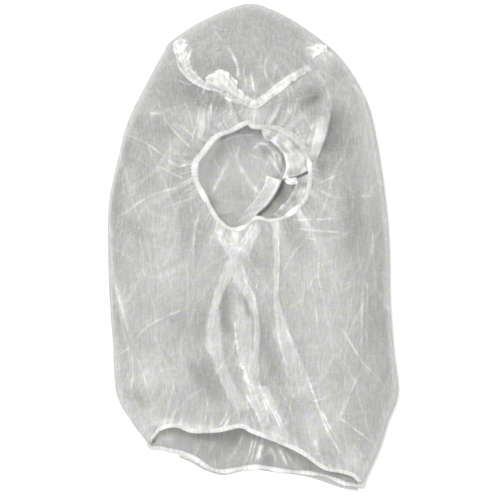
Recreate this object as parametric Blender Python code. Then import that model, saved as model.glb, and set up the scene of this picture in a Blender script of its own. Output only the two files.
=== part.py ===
"""A disposable head and beard cover of thin non-woven cloth, lying on its back.

The neck opening points to -Y, the crown to +Y and the face opening up, +Z.
One bag of cloth is gathered on an elastic round the face, on an elastic round
the neck, and on a seam across the forehead. Units are metres.
"""

import math

import bpy
import numpy as np
from mathutils import Vector
from mathutils.bvhtree import BVHTree

# Driving dimensions
HOOD_LENGTH = 0.480  # crown to neck, lying flat
HOOD_WIDTH = 0.287  # side fold to side fold, lying flat
LOFT = 0.046  # highest that the upper layer puffs up from the table
CLOTH_WALL = 0.0012  # cloth with its crumples
SIDE_FOLD_HEIGHT = 0.0076  # thickness of the bag where it folds at its sides
FACE_WIDTH = 0.116  # relaxed face opening, across
FACE_HEIGHT = 0.104  # relaxed face opening, chin to forehead
FACE_HEM_DIAMETER = 0.0046  # cloth rolled round the face elastic
NECK_HEM_DIAMETER = 0.0042  # cloth rolled round the neck elastic
SEAM_DIAMETER = 0.0050  # gathered seam across the forehead
GATHER_DEPTH = 0.0016  # height of the gathers beside an elastic
GATHER_REACH = 0.026  # how far the face gathers run into the cloth
HEM_GATHER_REACH = 0.030  # how far the neck gathers run into the cloth
NECK_LIFT = 0.026  # height of the upper neck hem above the table
ROLL_HEIGHT = 0.012  # rolled fold of the lower layer, under the face opening
ROLL_LENGTH = 0.075  # the rolled fold along its line
ROLL_WIDTH = 0.018  # the rolled fold across its line
TROUGH_WIDTH = 0.026  # valley that the forehead seam pulls into the cloth
GAP = 0.0003  # clearance between two pieces

# Shares and angles of the form
FACE_CENTRE = (-0.008, 0.6444)  # of half the width and of the length
ROLL_CENTRE = (0.065, 0.590)  # also the centre of the lower layer's mesh
ROLL_BEARING = 54  # degrees clockwise from +Y
SEAM_PULL = 0.42  # of the cloth's height above the side fold, at the forehead seam
PUFF_REACH = 0.32  # of the way out, where the cloth has risen from the face hem
FALL_START = 0.25  # of the way out, where the cloth starts down to the outline
FOLDS_FADE_IN = 0.12  # of the way out, where folds have their full height
FOLDS_FADE_OUT = 0.16  # of the way out, before the outline
BEAD_GATHER = 0.12  # of a hem's diameter, between its gathers

# Mesh fineness
SIDE_COLUMNS = 72
HEM_COLUMNS = 20
FACE_GATHERS = 22
HEM_GATHERS = 10
CORNER_COLUMNS = 4  # side columns that the neck hem's thickness lifts
SEAM_POINTS = 44
SMOOTH_STEPS = 14  # curve points between two rows of a table

HALF_WIDTH = HOOD_WIDTH / 2
FOLD_RADIUS = SIDE_FOLD_HEIGHT / 2
HEM_RISE = (NECK_HEM_DIAMETER - CLOTH_WALL) / 2  # the hem lies on the table, so it lifts the cloth


def table(columns, *rows):
    """A short table as one array for each named column."""
    return {name: np.array(column) for name, column in zip(columns.split(), zip(*rows))}


# Outline from the left neck corner over the crown to the right neck corner
SIDE_OUTLINE = table(
    "across up",
    (-0.715, 0.093),
    (-0.845, 0.145),
    (-0.938, 0.200),
    (-0.962, 0.300),
    (-0.986, 0.400),
    (-0.995, 0.500),
    (-0.986, 0.597),
    (-0.912, 0.700),
    (-0.850, 0.765),
    (-0.715, 0.845),
    (-0.605, 0.905),
    (-0.555, 0.925),
    (-0.340, 0.966),
    (-0.050, 1.000),
    (0.150, 0.986),
    (0.375, 0.947),
    (0.610, 0.887),
    (0.780, 0.803),
    (0.855, 0.715),
    (0.912, 0.600),
    (0.940, 0.500),
    (0.945, 0.390),
    (0.970, 0.290),
    (1.000, 0.200),
    (0.930, 0.140),
    (0.870, 0.083),
    (0.758, 0.0105),
)

# Edge of the upper layer at the neck, from near the right corner to near the left one
UPPER_HEM = table(
    "across up lift",
    (0.700, 0.030, 0.36),
    (0.605, 0.043, 0.40),
    (0.490, 0.051, 0.48),
    (0.330, 0.085, 0.74),
    (0.155, 0.109, 0.96),
    (-0.010, 0.129, 1.00),
    (-0.080, 0.139, 1.00),
    (-0.210, 0.131, 0.96),
    (-0.330, 0.127, 0.92),
    (-0.430, 0.129, 0.86),
    (-0.520, 0.138, 0.78),
    (-0.600, 0.134, 0.62),
    (-0.670, 0.117, 0.46),
)

# Edge of the lower layer at the neck, flat on the table
LOWER_HEM = table(
    "across up",
    (0.660, 0.012),
    (0.520, 0.031),
    (0.400, 0.038),
    (0.200, 0.044),
    (0.050, 0.051),
    (-0.080, 0.048),
    (-0.200, 0.042),
    (-0.300, 0.050),
    (-0.400, 0.070),
    (-0.500, 0.082),
    (-0.620, 0.087),
)

# Face elastic, clockwise from its peak, as shares of the opening's half sizes
FACE_RING = table(
    "across up lift",
    (-0.070, 1.020, 0.66),
    (0.040, 0.930, 0.64),
    (0.400, 0.910, 0.66),
    (0.680, 0.780, 0.70),
    (0.880, 0.560, 0.74),
    (0.985, 0.200, 0.74),
    (0.975, -0.200, 0.70),
    (0.880, -0.480, 0.66),
    (0.580, -0.760, 0.60),
    (0.330, -0.840, 0.58),
    (0.080, -0.790, 0.56),
    (-0.120, -0.960, 0.52),
    (-0.360, -0.990, 0.50),
    (-0.580, -0.800, 0.52),
    (-0.780, -0.420, 0.58),
    (-0.960, -0.050, 0.62),
    (-0.985, 0.260, 0.64),
    (-0.850, 0.480, 0.66),
    (-0.620, 0.780, 0.68),
    (-0.370, 0.880, 0.68),
)

# Forehead seam from its left end to its right end, and its thickness
FOREHEAD_SEAM = table(
    "across up thickness",
    (-0.525, 0.909, 0.90),
    (-0.500, 0.893, 1.30),
    (-0.455, 0.868, 1.10),
    (-0.390, 0.831, 0.90),
    (-0.310, 0.815, 1.00),
    (-0.210, 0.809, 1.35),
    (-0.110, 0.808, 1.40),
    (-0.030, 0.799, 1.05),
    (0.035, 0.793, 0.90),
    (0.100, 0.811, 0.95),
    (0.210, 0.832, 1.05),
    (0.320, 0.855, 1.00),
    (0.410, 0.878, 0.90),
    (0.490, 0.900, 1.15),
)

# How high the upper layer puffs up, by bearing round the face opening
PUFF = table(
    "bearing share",
    (0, 0.74),
    (40, 0.84),
    (90, 0.98),
    (130, 1.00),
    (160, 0.90),
    (180, 0.84),
    (200, 0.88),
    (230, 0.96),
    (270, 0.94),
    (320, 0.82),
    (360, 0.74),
)

# Long folds in the upper layer, as shares of half width, length and loft
UPPER_FOLDS = table(
    "across_a up_a across_b up_b rise spread",
    (-0.105, 0.520, -0.250, 0.340, 0.14, 0.036),
    (-0.060, 0.500, 0.060, 0.330, 0.12, 0.036),
    (0.060, 0.330, 0.180, 0.130, 0.16, 0.040),
    (-0.230, 0.340, -0.030, 0.150, 0.12, 0.040),
    (0.180, 0.530, 0.220, 0.330, 0.11, 0.034),
    (0.220, 0.330, 0.480, 0.080, 0.14, 0.046),
    (0.500, 0.850, 0.460, 0.700, 0.15, 0.060),
    (-0.640, 0.520, -0.760, 0.220, 0.07, 0.050),
    (0.640, 0.560, 0.660, 0.200, 0.08, 0.056),
)

# Grooves that the face gathers pull into the upper layer
UPPER_GROOVES = table(
    "across_a up_a across_b up_b rise spread",
    (-0.060, 0.470, -0.090, 0.200, 0.12, 0.056),
    (0.130, 0.480, 0.140, 0.280, 0.09, 0.044),
    (-0.420, 0.640, -0.860, 0.640, 0.10, 0.060),
    (0.620, 0.690, 0.660, 0.560, 0.08, 0.070),
)

# Share of the way from the face to the outline at each row of the upper layer
UPPER_ROWS = (0.0, 0.045, 0.11, 0.19, 0.29, 0.40, 0.52, 0.65, 0.78, 0.90, 1.0)
# Angle round the side fold at each of its rows, from the top to the bottom
FOLD_ANGLES = (45, 90, 135)
# Share of the way from the outline to the centre of the lower layer
LOWER_ROWS = (0.0, 0.05, 0.16, 0.32, 0.48, 0.62, 0.74, 0.84, 0.92, 0.97)


def place(across, up):
    """Shares of half width and length as X and Y in metres."""
    x = np.asarray(across) * HALF_WIDTH
    y = (np.asarray(up) - 0.5) * HOOD_LENGTH
    return np.stack([x, y], axis=-1)


def smooth_step(share):
    share = np.clip(share, 0.0, 1.0)
    return share * share * (3 - 2 * share)


def through(points, closed=False):
    """A Catmull-Rom curve through the points."""
    if closed:
        padded = np.vstack([points[-1], points, points[:2]])
    else:
        start = 2 * points[0] - points[1]
        end = 2 * points[-1] - points[-2]
        padded = np.vstack([start, points, end])
    a, b, c, d = padded[:-3], padded[1:-2], padded[2:-1], padded[3:]
    t = np.arange(SMOOTH_STEPS)[None, :, None] / SMOOTH_STEPS
    a, b, c, d = (p[:, None, :] for p in (a, b, c, d))
    curve = b + 0.5 * t * (c - a + t * (2 * a - 5 * b + 4 * c - d + t * (3 * (b - c) + d - a)))
    curve = curve.reshape(-1, points.shape[1])
    return curve if closed else np.vstack([curve, points[-1]])


def spaced(curve, count, closed=False):
    """The curve as count points at equal steps along it."""
    if closed:
        curve = np.vstack([curve, curve[:1]])
    steps = np.linalg.norm(np.diff(curve, axis=0), axis=1)
    along = np.concatenate([[0.0], np.cumsum(steps)])
    wanted = np.linspace(0.0, along[-1], count + closed)[:count]
    return np.stack([np.interp(wanted, along, axis) for axis in curve.T], axis=-1)


def unit(vectors):
    return vectors / np.linalg.norm(vectors, axis=-1, keepdims=True)


def distance_to(path, xy):
    """Distance of each point of xy to a chain of straight lines in plan."""
    nearest = np.full(xy.shape[:-1], np.inf)
    for start, end in zip(path[:-1], path[1:]):
        along = end - start
        share = np.clip(((xy - start) @ along) / (along @ along), 0.0, 1.0)
        foot = start + share[..., None] * along
        nearest = np.minimum(nearest, np.linalg.norm(xy - foot, axis=-1))
    return nearest


def fold_heights(xy, folds):
    """Sum of the table's folds at xy, each a rounded ridge on a straight line."""
    starts = place(folds["across_a"], folds["up_a"])
    ends = place(folds["across_b"], folds["up_b"])
    total = np.zeros(xy.shape[:-1])
    for start, end, rise, spread in zip(starts, ends, folds["rise"], folds["spread"]):
        away = distance_to(np.array([start, end]), xy)
        total += rise * LOFT * np.exp(-((away / (spread * HOOD_WIDTH)) ** 2))
    return total


def grown(ring, distance):
    """A closed chain of points moved outwards in plan, each stretch by the distance."""
    ahead = unit(np.roll(ring, -1, axis=0)[:, :2] - ring[:, :2])
    behind = np.roll(ahead, 1, axis=0)
    outward = unit(ahead + behind)
    reach = distance / np.sum(outward * ahead, axis=-1, keepdims=True)
    moved = ring.copy()
    moved[:, :2] += np.stack([-outward[:, 1], outward[:, 0]], axis=-1) * reach
    return moved


def face_ring_path():
    """Centre line of the face hem, as a closed curve in space."""
    centre = place(*FACE_CENTRE)
    x = centre[0] + FACE_RING["across"] * FACE_WIDTH / 2
    y = centre[1] + FACE_RING["up"] * FACE_HEIGHT / 2
    return through(np.stack([x, y, FACE_RING["lift"] * LOFT], axis=-1), closed=True)


def bearings(points, centre):
    """Clockwise angle from +Y of each point round the centre, in radians."""
    away = points - centre
    return np.arctan2(away[..., 0], away[..., 1])


def ring_at(angles, ring, centre):
    """The ring's points at these bearings round the centre."""
    around = bearings(ring[:, :2], centre)
    order = np.argsort(around)
    return np.stack(
        [np.interp(angles, around[order], axis[order], period=2 * math.pi) for axis in ring.T],
        axis=-1,
    )


def upper_height(xy, share, rim_height, edge_height, bearing):
    """Height of the upper layer: a puffed bag with folds, held down at its rims."""
    puff = np.interp(np.degrees(bearing) % 360, PUFF["bearing"], PUFF["share"]) * LOFT
    height = rim_height + (puff - rim_height) * smooth_step(share / PUFF_REACH)
    fall = np.clip((share - FALL_START) / (1 - FALL_START), 0.0, 1.0) ** 2
    height = height + (edge_height - height) * fall
    inside = smooth_step(share / FOLDS_FADE_IN) * smooth_step((1 - share) / FOLDS_FADE_OUT)
    height += inside * (fold_heights(xy, UPPER_FOLDS) - fold_heights(xy, UPPER_GROOVES))
    seam = place(FOREHEAD_SEAM["across"], FOREHEAD_SEAM["up"])
    valley = np.exp(-((distance_to(seam, xy) / (TROUGH_WIDTH / 2)) ** 2))
    return height - inside * SEAM_PULL * valley * (height - SIDE_FOLD_HEIGHT)


def lower_height(xy):
    """Height of the lower layer: flat on the table but for the rolled fold."""
    away = xy - place(*ROLL_CENTRE)
    turn = math.radians(ROLL_BEARING)
    along = away @ np.array([math.sin(turn), math.cos(turn)])
    across = away @ np.array([math.cos(turn), -math.sin(turn)])
    return ROLL_HEIGHT * np.exp(-((along / (ROLL_LENGTH / 2)) ** 2) - (across / (ROLL_WIDTH / 2)) ** 2)


def side_fold():
    """Outline points of the side fold, and its outward direction at each, in plan."""
    outline = spaced(through(place(SIDE_OUTLINE["across"], SIDE_OUTLINE["up"])), SIDE_COLUMNS)
    along = unit(np.gradient(outline, axis=0))
    return outline, np.stack([-along[:, 1], along[:, 0]], axis=-1)


def corner_lift():
    """How far the hem's thickness lifts each side column, at both neck corners."""
    from_corner = np.minimum(np.arange(SIDE_COLUMNS), np.arange(SIDE_COLUMNS)[::-1])
    return HEM_RISE * (1 - smooth_step(from_corner / CORNER_COLUMNS))


def edges():
    """Edge of the upper and of the lower layer, a point in space for each column."""
    outline, outward = side_fold()
    plan = outline - outward * FOLD_RADIUS
    lower_side = np.column_stack([plan, corner_lift()])
    upper_side = lower_side + np.array([0.0, 0.0, SIDE_FOLD_HEIGHT])
    upper_hem = place(UPPER_HEM["across"], UPPER_HEM["up"])
    upper_hem = np.column_stack([upper_hem, UPPER_HEM["lift"] * NECK_LIFT])
    lower_hem = place(LOWER_HEM["across"], LOWER_HEM["up"])
    lower_hem = np.column_stack([lower_hem, np.full(len(lower_hem), HEM_RISE)])
    joined = []
    for side, hem in ((upper_side, upper_hem), (lower_side, lower_hem)):
        line = through(np.vstack([side[-1], hem, side[0]]))
        joined.append(np.vstack([side, spaced(line, HEM_COLUMNS + 2)[1:-1]]))
    return joined


def fold_rows():
    """Points round the side fold, a row for each angle, from the upper to the lower layer."""
    outline, outward = side_fold()
    rows = []
    for angle in np.radians(FOLD_ANGLES):
        plan = outline - outward * FOLD_RADIUS * (1 - math.sin(angle))
        rows.append(np.column_stack([plan, corner_lift() + FOLD_RADIUS * (1 + math.cos(angle))]))
    return rows


def face_columns(upper_edge):
    """Bearing of each column's outline point, and its point on the face hem's centre line."""
    centre = place(*FACE_CENTRE)
    outline = np.unwrap(bearings(upper_edge, centre))
    even = np.arange(len(outline)) / len(outline) * 2 * math.pi
    even += np.mean(outline - even)
    return outline, ring_at((outline + even) / 2, face_ring_path(), centre)


def bag_points():
    """Points of the bag's outer surface: its grid, and the lower layer's centre."""
    upper_edge, lower_edge = edges()
    count = len(upper_edge)
    centre = place(*FACE_CENTRE)
    outline_bearing, hem_line = face_columns(upper_edge[:, :2])
    rim = grown(hem_line, FACE_HEM_DIAMETER / 2 + GAP)
    rim[:, 2] += CLOTH_WALL / 2

    share = np.array(UPPER_ROWS)[:, None]
    xy = rim[:, :2] + (upper_edge - rim)[:, :2] * share[..., None]
    height = upper_height(xy, share, rim[:, 2], upper_edge[:, 2], outline_bearing)
    from_rim = np.linalg.norm(xy - rim[:, :2], axis=-1) / GATHER_REACH
    from_edge = np.linalg.norm(xy - upper_edge[:, :2], axis=-1) / HEM_GATHER_REACH
    face_gather = np.cos(FACE_GATHERS * bearings(xy, centre)) * np.exp(-from_rim)
    wave = np.cos(2 * math.pi * HEM_GATHERS * (np.arange(count) - SIDE_COLUMNS) / HEM_COLUMNS)
    hem_gather = np.where(np.arange(count) < SIDE_COLUMNS, 0.0, wave) * np.exp(-from_edge)
    rims_stay = (share > UPPER_ROWS[0]) & (share < UPPER_ROWS[-1])
    height += GATHER_DEPTH * rims_stay * (face_gather + hem_gather)
    rows = [np.column_stack([plan, high]) for plan, high in zip(xy, height)]

    unused = np.zeros((HEM_COLUMNS, 3))
    rows += [np.vstack([row, unused]) for row in fold_rows()]

    middle = place(*ROLL_CENTRE)
    for share in LOWER_ROWS:
        plan = lower_edge[:, :2] + (middle - lower_edge[:, :2]) * share
        raised = lower_height(plan) + lower_edge[:, 2] * (1 - smooth_step(share / LOWER_ROWS[1]))
        rows.append(np.column_stack([plan, raised]))
    top = [*middle, float(lower_height(middle[None])[0])]
    return np.array(rows), np.array(top)


def bag_faces(rows, count):
    """Quads of the grid, without the side fold's rows across the neck opening."""
    fold_rows = range(len(UPPER_ROWS) - 1, len(UPPER_ROWS) + len(FOLD_ANGLES))
    faces = []
    for row in range(rows - 1):
        for column in range(count):
            if row in fold_rows and column >= SIDE_COLUMNS - 1:
                continue
            after = (column + 1) % count
            here, out = row * count, (row + 1) * count
            faces.append((here + column, here + after, out + after, out + column))
    last = (rows - 1) * count
    faces += [(last + column, last + (column + 1) % count, rows * count) for column in range(count)]
    return faces


def neck_edge():
    """The bag's edge round the neck opening, and the way out of the cloth at each point."""
    upper, lower = edges()
    folds = np.array(fold_rows())
    outline, _ = side_fold()
    left, right = 0, SIDE_COLUMNS - 1
    left_way = unit(outline[0] - outline[1])
    right_way = unit(outline[-1] - outline[-2])
    centre = place(*FACE_CENTRE)
    hem_ways = [unit(edge[SIDE_COLUMNS:, :2] - centre) for edge in (upper, lower)]
    points = np.vstack([
        upper[SIDE_COLUMNS:], upper[left], folds[:, left], lower[left],
        lower[SIDE_COLUMNS:][::-1], lower[right], folds[::-1, right], upper[right],
    ])
    corner_rows = len(FOLD_ANGLES) + 2
    ways = np.vstack([
        hem_ways[0], np.tile(left_way, (corner_rows, 1)),
        hem_ways[1][::-1], np.tile(right_way, (corner_rows, 1)),
    ])
    return points, np.column_stack([ways, np.zeros(len(ways))])


def neck_hem_line():
    """Centre line of the neck hem, beside the middle of the cloth's wall all the way round."""
    points, ways = neck_edge()
    middle = points + np.column_stack([np.zeros((len(points), 2)), wall_shift(points)])
    ahead = unit(np.roll(middle, -1, axis=0) - middle)
    along = unit(ahead + np.roll(ahead, 1, axis=0))
    out = unit(ways - np.sum(ways * along, axis=-1, keepdims=True) * along)
    reach = (NECK_HEM_DIAMETER / 2 + GAP) / np.sum(along * ahead, axis=-1, keepdims=True)
    return middle + out * reach


def wall_shift(points):
    """From the cloth's outer face to the middle of its wall: down above the fold, up below it."""
    side = np.clip((points[:, 2] - HEM_RISE - FOLD_RADIUS) / FOLD_RADIUS, -1.0, 1.0)
    return -side * CLOTH_WALL / 2


def material(name, colour, roughness):
    made = bpy.data.materials.new(name)
    made.use_nodes = True
    shader = made.node_tree.nodes["Principled BSDF"]
    shader.inputs["Base Color"].default_value = (*colour, 1.0)
    shader.inputs["Roughness"].default_value = roughness
    shader.inputs["Metallic"].default_value = 0.0
    made.diffuse_color = (*colour, 1.0)
    return made


def add_object(name, data, look):
    made = bpy.data.objects.new(name, data)
    data.materials.append(look)
    bpy.context.scene.collection.objects.link(made)
    return made


def cloth_bag(look):
    """The hood's cloth: one surface with two openings, given its wall inwards."""
    rows, middle = bag_points()
    points = np.vstack([rows.reshape(-1, 3), middle])
    faces = bag_faces(len(rows), rows.shape[1])
    used = sorted({corner for face in faces for corner in face})
    renumbered = {old: new for new, old in enumerate(used)}
    mesh = bpy.data.meshes.new("hood_cloth")
    faces = [[renumbered[corner] for corner in face] for face in faces]
    mesh.from_pydata(points[used].tolist(), [], faces)
    mesh.validate()
    mesh.shade_smooth()
    bag = add_object("hood_cloth", mesh, look)
    wall = bag.modifiers.new("wall", "SOLIDIFY")
    wall.thickness = CLOTH_WALL
    wall.offset = -1.0
    wall.use_even_offset = False
    return bag


def gathered(count, gathers):
    """Size of a hem's bead at each of its points: full at each gather, thinner between."""
    wave = np.cos(2 * math.pi * gathers * np.arange(count) / count)
    return 1 - BEAD_GATHER / 2 * (1 - wave)


def cord_object(name, path, diameter, sizes, closed, look):
    """A round bead of gathered cloth along a path, thicker and thinner by sizes."""
    curve = bpy.data.curves.new(name, "CURVE")
    curve.dimensions = "3D"
    curve.bevel_depth = diameter / 2
    curve.bevel_resolution = 1
    curve.use_fill_caps = not closed
    spline = curve.splines.new("POLY")
    spline.points.add(len(path) - 1)
    for point, at, size in zip(spline.points, path, sizes):
        point.co = (*at, 1.0)
        point.radius = size
    spline.use_cyclic_u = closed
    return add_object(name, curve, look)


def face_hem(look):
    path = face_columns(edges()[0][:, :2])[1]
    sizes = gathered(len(path), FACE_GATHERS)
    return cord_object("face_hem", path, FACE_HEM_DIAMETER, sizes, True, look)


def neck_hem(look):
    path = neck_hem_line()
    sizes = gathered(len(path), 2 * HEM_GATHERS)
    return cord_object("neck_hem", path, NECK_HEM_DIAMETER, sizes, True, look)


def resting_height(cloth, at, along, radius):
    """Height at which a stretch of bead of this radius just clears the cloth below it."""
    across = np.array([-along[1], along[0]]) / np.linalg.norm(along)
    needed = []
    for ahead in (-1.0, -0.5, 0.0, 0.5, 1.0):
        for aside in (-0.95, -0.7, -0.35, 0.0, 0.35, 0.7, 0.95):
            spot = at + ahead * along + aside * radius * across
            hit = cloth.ray_cast(Vector((*spot, 2 * LOFT)), Vector((0, 0, -1)))[0]
            if hit is not None:
                needed.append(hit.z + radius * math.sqrt(1 - aside * aside))
    return max(needed) + GAP


def forehead_seam(look, bag):
    """The gathered seam lies in its trough on the upper layer."""
    bpy.context.view_layer.update()
    cloth = BVHTree.FromObject(bag, bpy.context.evaluated_depsgraph_get())
    plan = place(FOREHEAD_SEAM["across"], FOREHEAD_SEAM["up"])
    line = spaced(through(np.column_stack([plan, FOREHEAD_SEAM["thickness"]])), SEAM_POINTS)
    along = np.gradient(line[:, :2], axis=0)
    radii = line[:, 2] * SEAM_DIAMETER / 2
    heights = [resting_height(cloth, *spot) for spot in zip(line[:, :2], along, radii)]
    path = np.column_stack([line[:, :2], heights])
    return cord_object("forehead_seam", path, SEAM_DIAMETER, line[:, 2], False, look)


def main():
    for old in list(bpy.data.objects):
        bpy.data.objects.remove(old, do_unlink=True)
    cloth = material("non-woven cloth", (0.72, 0.72, 0.70), 0.8)
    hem = material("gathered hem", (0.92, 0.92, 0.91), 0.7)
    bag = cloth_bag(cloth)
    face_hem(hem)
    neck_hem(hem)
    forehead_seam(hem, bag)


main()
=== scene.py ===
# %% [markdown]
# # A head and beard cover of thin non-woven cloth
# The real thing is a bag of spun-bonded fibre, about as heavy as tissue paper. Elastic thread gathers
# it round the face and round the neck, and a gathered seam runs in a V across the forehead. It lies on
# its back on a pale surface, and the eye looks straight down on it.
#
# The frame holds four plain solids of the right size: the cloth, two hems and the seam. This lesson
# dresses them. Every new piece is a surface worked out with numpy, a function of two parameters.

# %% Load the frame
import math

import bpy
import numpy as np
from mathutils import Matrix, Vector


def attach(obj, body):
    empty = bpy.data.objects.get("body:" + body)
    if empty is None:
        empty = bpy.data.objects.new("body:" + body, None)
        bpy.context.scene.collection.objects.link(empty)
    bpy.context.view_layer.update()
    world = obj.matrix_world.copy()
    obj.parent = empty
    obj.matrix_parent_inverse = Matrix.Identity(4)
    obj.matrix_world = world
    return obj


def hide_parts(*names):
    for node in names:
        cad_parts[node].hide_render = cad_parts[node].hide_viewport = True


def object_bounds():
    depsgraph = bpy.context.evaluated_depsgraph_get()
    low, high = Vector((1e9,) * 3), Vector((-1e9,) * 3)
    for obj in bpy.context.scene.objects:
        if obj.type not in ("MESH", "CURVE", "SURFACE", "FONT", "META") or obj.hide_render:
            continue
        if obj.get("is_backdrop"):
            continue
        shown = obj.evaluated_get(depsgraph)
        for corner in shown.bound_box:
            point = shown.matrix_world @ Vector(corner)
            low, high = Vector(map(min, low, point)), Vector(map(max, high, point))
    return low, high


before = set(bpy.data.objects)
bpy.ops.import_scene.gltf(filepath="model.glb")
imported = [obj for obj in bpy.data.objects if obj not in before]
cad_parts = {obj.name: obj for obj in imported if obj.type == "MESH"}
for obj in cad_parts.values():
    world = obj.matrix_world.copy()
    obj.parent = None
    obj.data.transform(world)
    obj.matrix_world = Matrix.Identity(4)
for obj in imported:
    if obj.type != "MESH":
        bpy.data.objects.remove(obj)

cad_low, cad_high = (list(corner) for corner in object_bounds())
print("the frame's box in metres:", cad_low, cad_high)

# %% [markdown]
# ## Sizes that everything follows
# Lengths along the hood are shares of its half width and of its length, so the dressing stays on the
# solids. Folds are charted in millimetres from the middle of the hood, +x right and +y to the crown.

# %% Named sizes
MM = 0.001
HALF_WIDTH = (cad_high[0] - cad_low[0]) / 2
LENGTH = cad_high[1] - cad_low[1]
MIDDLE = np.array([cad_low[0] + cad_high[0], cad_low[1] + cad_high[1]]) / 2
LOFT = 46 * MM  # how high the upper layer puffs up
SIDE_FOLD = 7.6 * MM  # thickness of the bag at its sides
NECK_LIFT = 26 * MM  # height of the upper neck hem
CLOTH = 0.25 * MM  # thickness of the cloth
FACE_SIZE = np.array([116 * MM, 104 * MM])  # relaxed face opening
FACE_BEAD = 4.6 * MM  # thickness of the face hem
NECK_BEAD = 4.2 * MM  # thickness of the neck hem
FACE_CENTRE = (-0.008, 0.6444)  # shares of the half width and of the length
ROLL_CENTRE = (0.065, 0.590)  # where the lower layer's rows meet
print("half width", HALF_WIDTH, "m, length", LENGTH, "m, middle", MIDDLE)


# %% Helpers for tables and curves
def table(columns, text):
    """A short table as one array for each named column. Each line of the text is a row."""
    names = columns.split()
    values = np.array(text.split(), float).reshape(-1, len(names))
    return dict(zip(names, values.T))


def stacked(*tables):
    """Tables with the same columns as one table."""
    return {name: np.concatenate([rows[name] for rows in tables]) for name in tables[0]}


def place(across, up):
    """Shares of the half width and of the length as points in plan."""
    x = MIDDLE[0] + np.asarray(across) * HALF_WIDTH
    return np.stack([x, MIDDLE[1] + (np.asarray(up) - 0.5) * LENGTH], axis=-1)


def smooth_step(share):
    """Rises from 0 to 1 with level ends: 3 s^2 - 2 s^3."""
    share = np.clip(share, 0.0, 1.0)
    return share * share * (3 - 2 * share)


def faded(share, start, end=None):
    """Up from 0 to 1 over the first part, start long, and down to 0 over the last, end long."""
    return smooth_step(share / start) * smooth_step((1 - share) / (end or start))


def bell(distance, reach):
    """exp(-(distance / reach) ^ 2)"""
    return np.exp(-((distance / reach) ** 2))


def between(first, second, share):
    """The first value at share 0 and the second at share 1: first * (1 - share) + second * share."""
    return first * (1 - share) + second * share


def through(points, closed=False, steps=10):
    """A Catmull-Rom curve: between two points it is the cubic whose slopes follow their neighbours."""
    points = np.asarray(points, float)
    if closed:
        padded = np.vstack([points[-1:], points, points[:2]])
    else:
        padded = np.vstack([2 * points[:1] - points[1:2], points, 2 * points[-1:] - points[-2:-1]])
    a, b, c, d = (p[:, None, :] for p in (padded[:-3], padded[1:-2], padded[2:-1], padded[3:]))
    t = np.arange(steps)[None, :, None] / steps
    curve = b + 0.5 * t * (c - a + t * (2 * a - 5 * b + 4 * c - d + t * (3 * (b - c) + d - a)))
    curve = curve.reshape(-1, points.shape[1])
    return curve if closed else np.vstack([curve, points[-1:]])


def spaced(line, count, closed=False):
    """The line as count points at equal steps along it."""
    if closed:
        line = np.vstack([line, line[:1]])
    steps = np.linalg.norm(np.diff(line, axis=0), axis=1)
    along = np.concatenate([[0.0], np.cumsum(steps)])
    wanted = np.linspace(0.0, along[-1], count + closed)[:count]
    return np.stack([np.interp(wanted, along, axis) for axis in line.T], axis=-1)


def guide(rows, count):
    """A table in millimetres as count points in metres along its smooth curve."""
    return spaced(through(np.column_stack([column * MM for column in rows.values()])), count)


def unit(vectors):
    """Each vector at length 1."""
    return vectors / np.linalg.norm(vectors, axis=-1, keepdims=True)


def grid(x, y, z):
    """Points from three arrays, which are stretched to one shape."""
    return np.stack(np.broadcast_arrays(x, y, z), axis=-1)


print("smooth_step at 0, 1/4, 1/2, 3/4 and 1:", smooth_step(np.linspace(0, 1, 5)))


# %% [markdown]
# ## The lines that shape the hood
# The side fold, the two neck hems, the face elastic and the forehead seam are the same curves as in the
# solids. They are read as short tables, and smooth curves are drawn through their points. `across` is a
# share of the half width (of the opening, for the face) and `up` one of the length. `lift` is a share
# of the full height.

# %% Tables of the main lines
SIDE_OUTLINE = table("across up", """
-0.715 0.093
-0.845 0.145
-0.938 0.2
-0.962 0.3
-0.986 0.4
-0.995 0.5
-0.986 0.597
-0.912 0.7
-0.85 0.765
-0.715 0.845
-0.605 0.905
-0.555 0.925
-0.34 0.966
-0.05 1
0.15 0.986
0.375 0.947
0.61 0.887
0.78 0.803
0.855 0.715
0.912 0.6
0.94 0.5
0.945 0.39
0.97 0.29
1 0.2
0.93 0.14
0.87 0.083
0.758 0.0105
""")
UPPER_HEM = table("across up lift", """
0.7 0.03 0.36
0.605 0.043 0.4
0.49 0.051 0.48
0.33 0.085 0.74
0.155 0.109 0.96
-0.01 0.129 1
-0.08 0.139 1
-0.21 0.131 0.96
-0.33 0.127 0.92
-0.43 0.129 0.86
-0.52 0.138 0.78
-0.6 0.134 0.62
-0.67 0.117 0.46
""")
LOWER_HEM = table("across up", """
0.66 0.012
0.52 0.031
0.4 0.038
0.2 0.044
0.05 0.051
-0.08 0.048
-0.2 0.042
-0.3 0.05
-0.4 0.07
-0.5 0.082
-0.62 0.087
""")
FACE_RING = table("across up lift", """
-0.07 1.005 0.66
0.04 0.93 0.64
0.4 0.91 0.66
0.68 0.78 0.7
0.88 0.56 0.74
0.985 0.2 0.74
0.975 -0.2 0.7
0.88 -0.48 0.66
0.58 -0.76 0.6
0.33 -0.84 0.58
0.08 -0.79 0.56
-0.12 -0.96 0.52
-0.36 -0.99 0.5
-0.58 -0.8 0.52
-0.78 -0.42 0.58
-0.945 -0.05 0.62
-0.94 0.25 0.64
-0.81 0.45 0.66
-0.595 0.745 0.68
-0.36 0.845 0.68
""")
FOREHEAD_SEAM = table("across up", """
-0.525 0.909
-0.5 0.893
-0.455 0.868
-0.39 0.831
-0.31 0.815
-0.21 0.809
-0.11 0.808
-0.03 0.799
0.035 0.793
0.1 0.811
0.21 0.832
0.32 0.855
0.41 0.878
0.49 0.9
""")
PUFF = table("bearing share", """
0 0.74
40 0.84
90 0.98
130 1
160 0.9
180 0.84
200 0.88
230 0.96
270 0.94
320 0.82
360 0.74
""")
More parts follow.
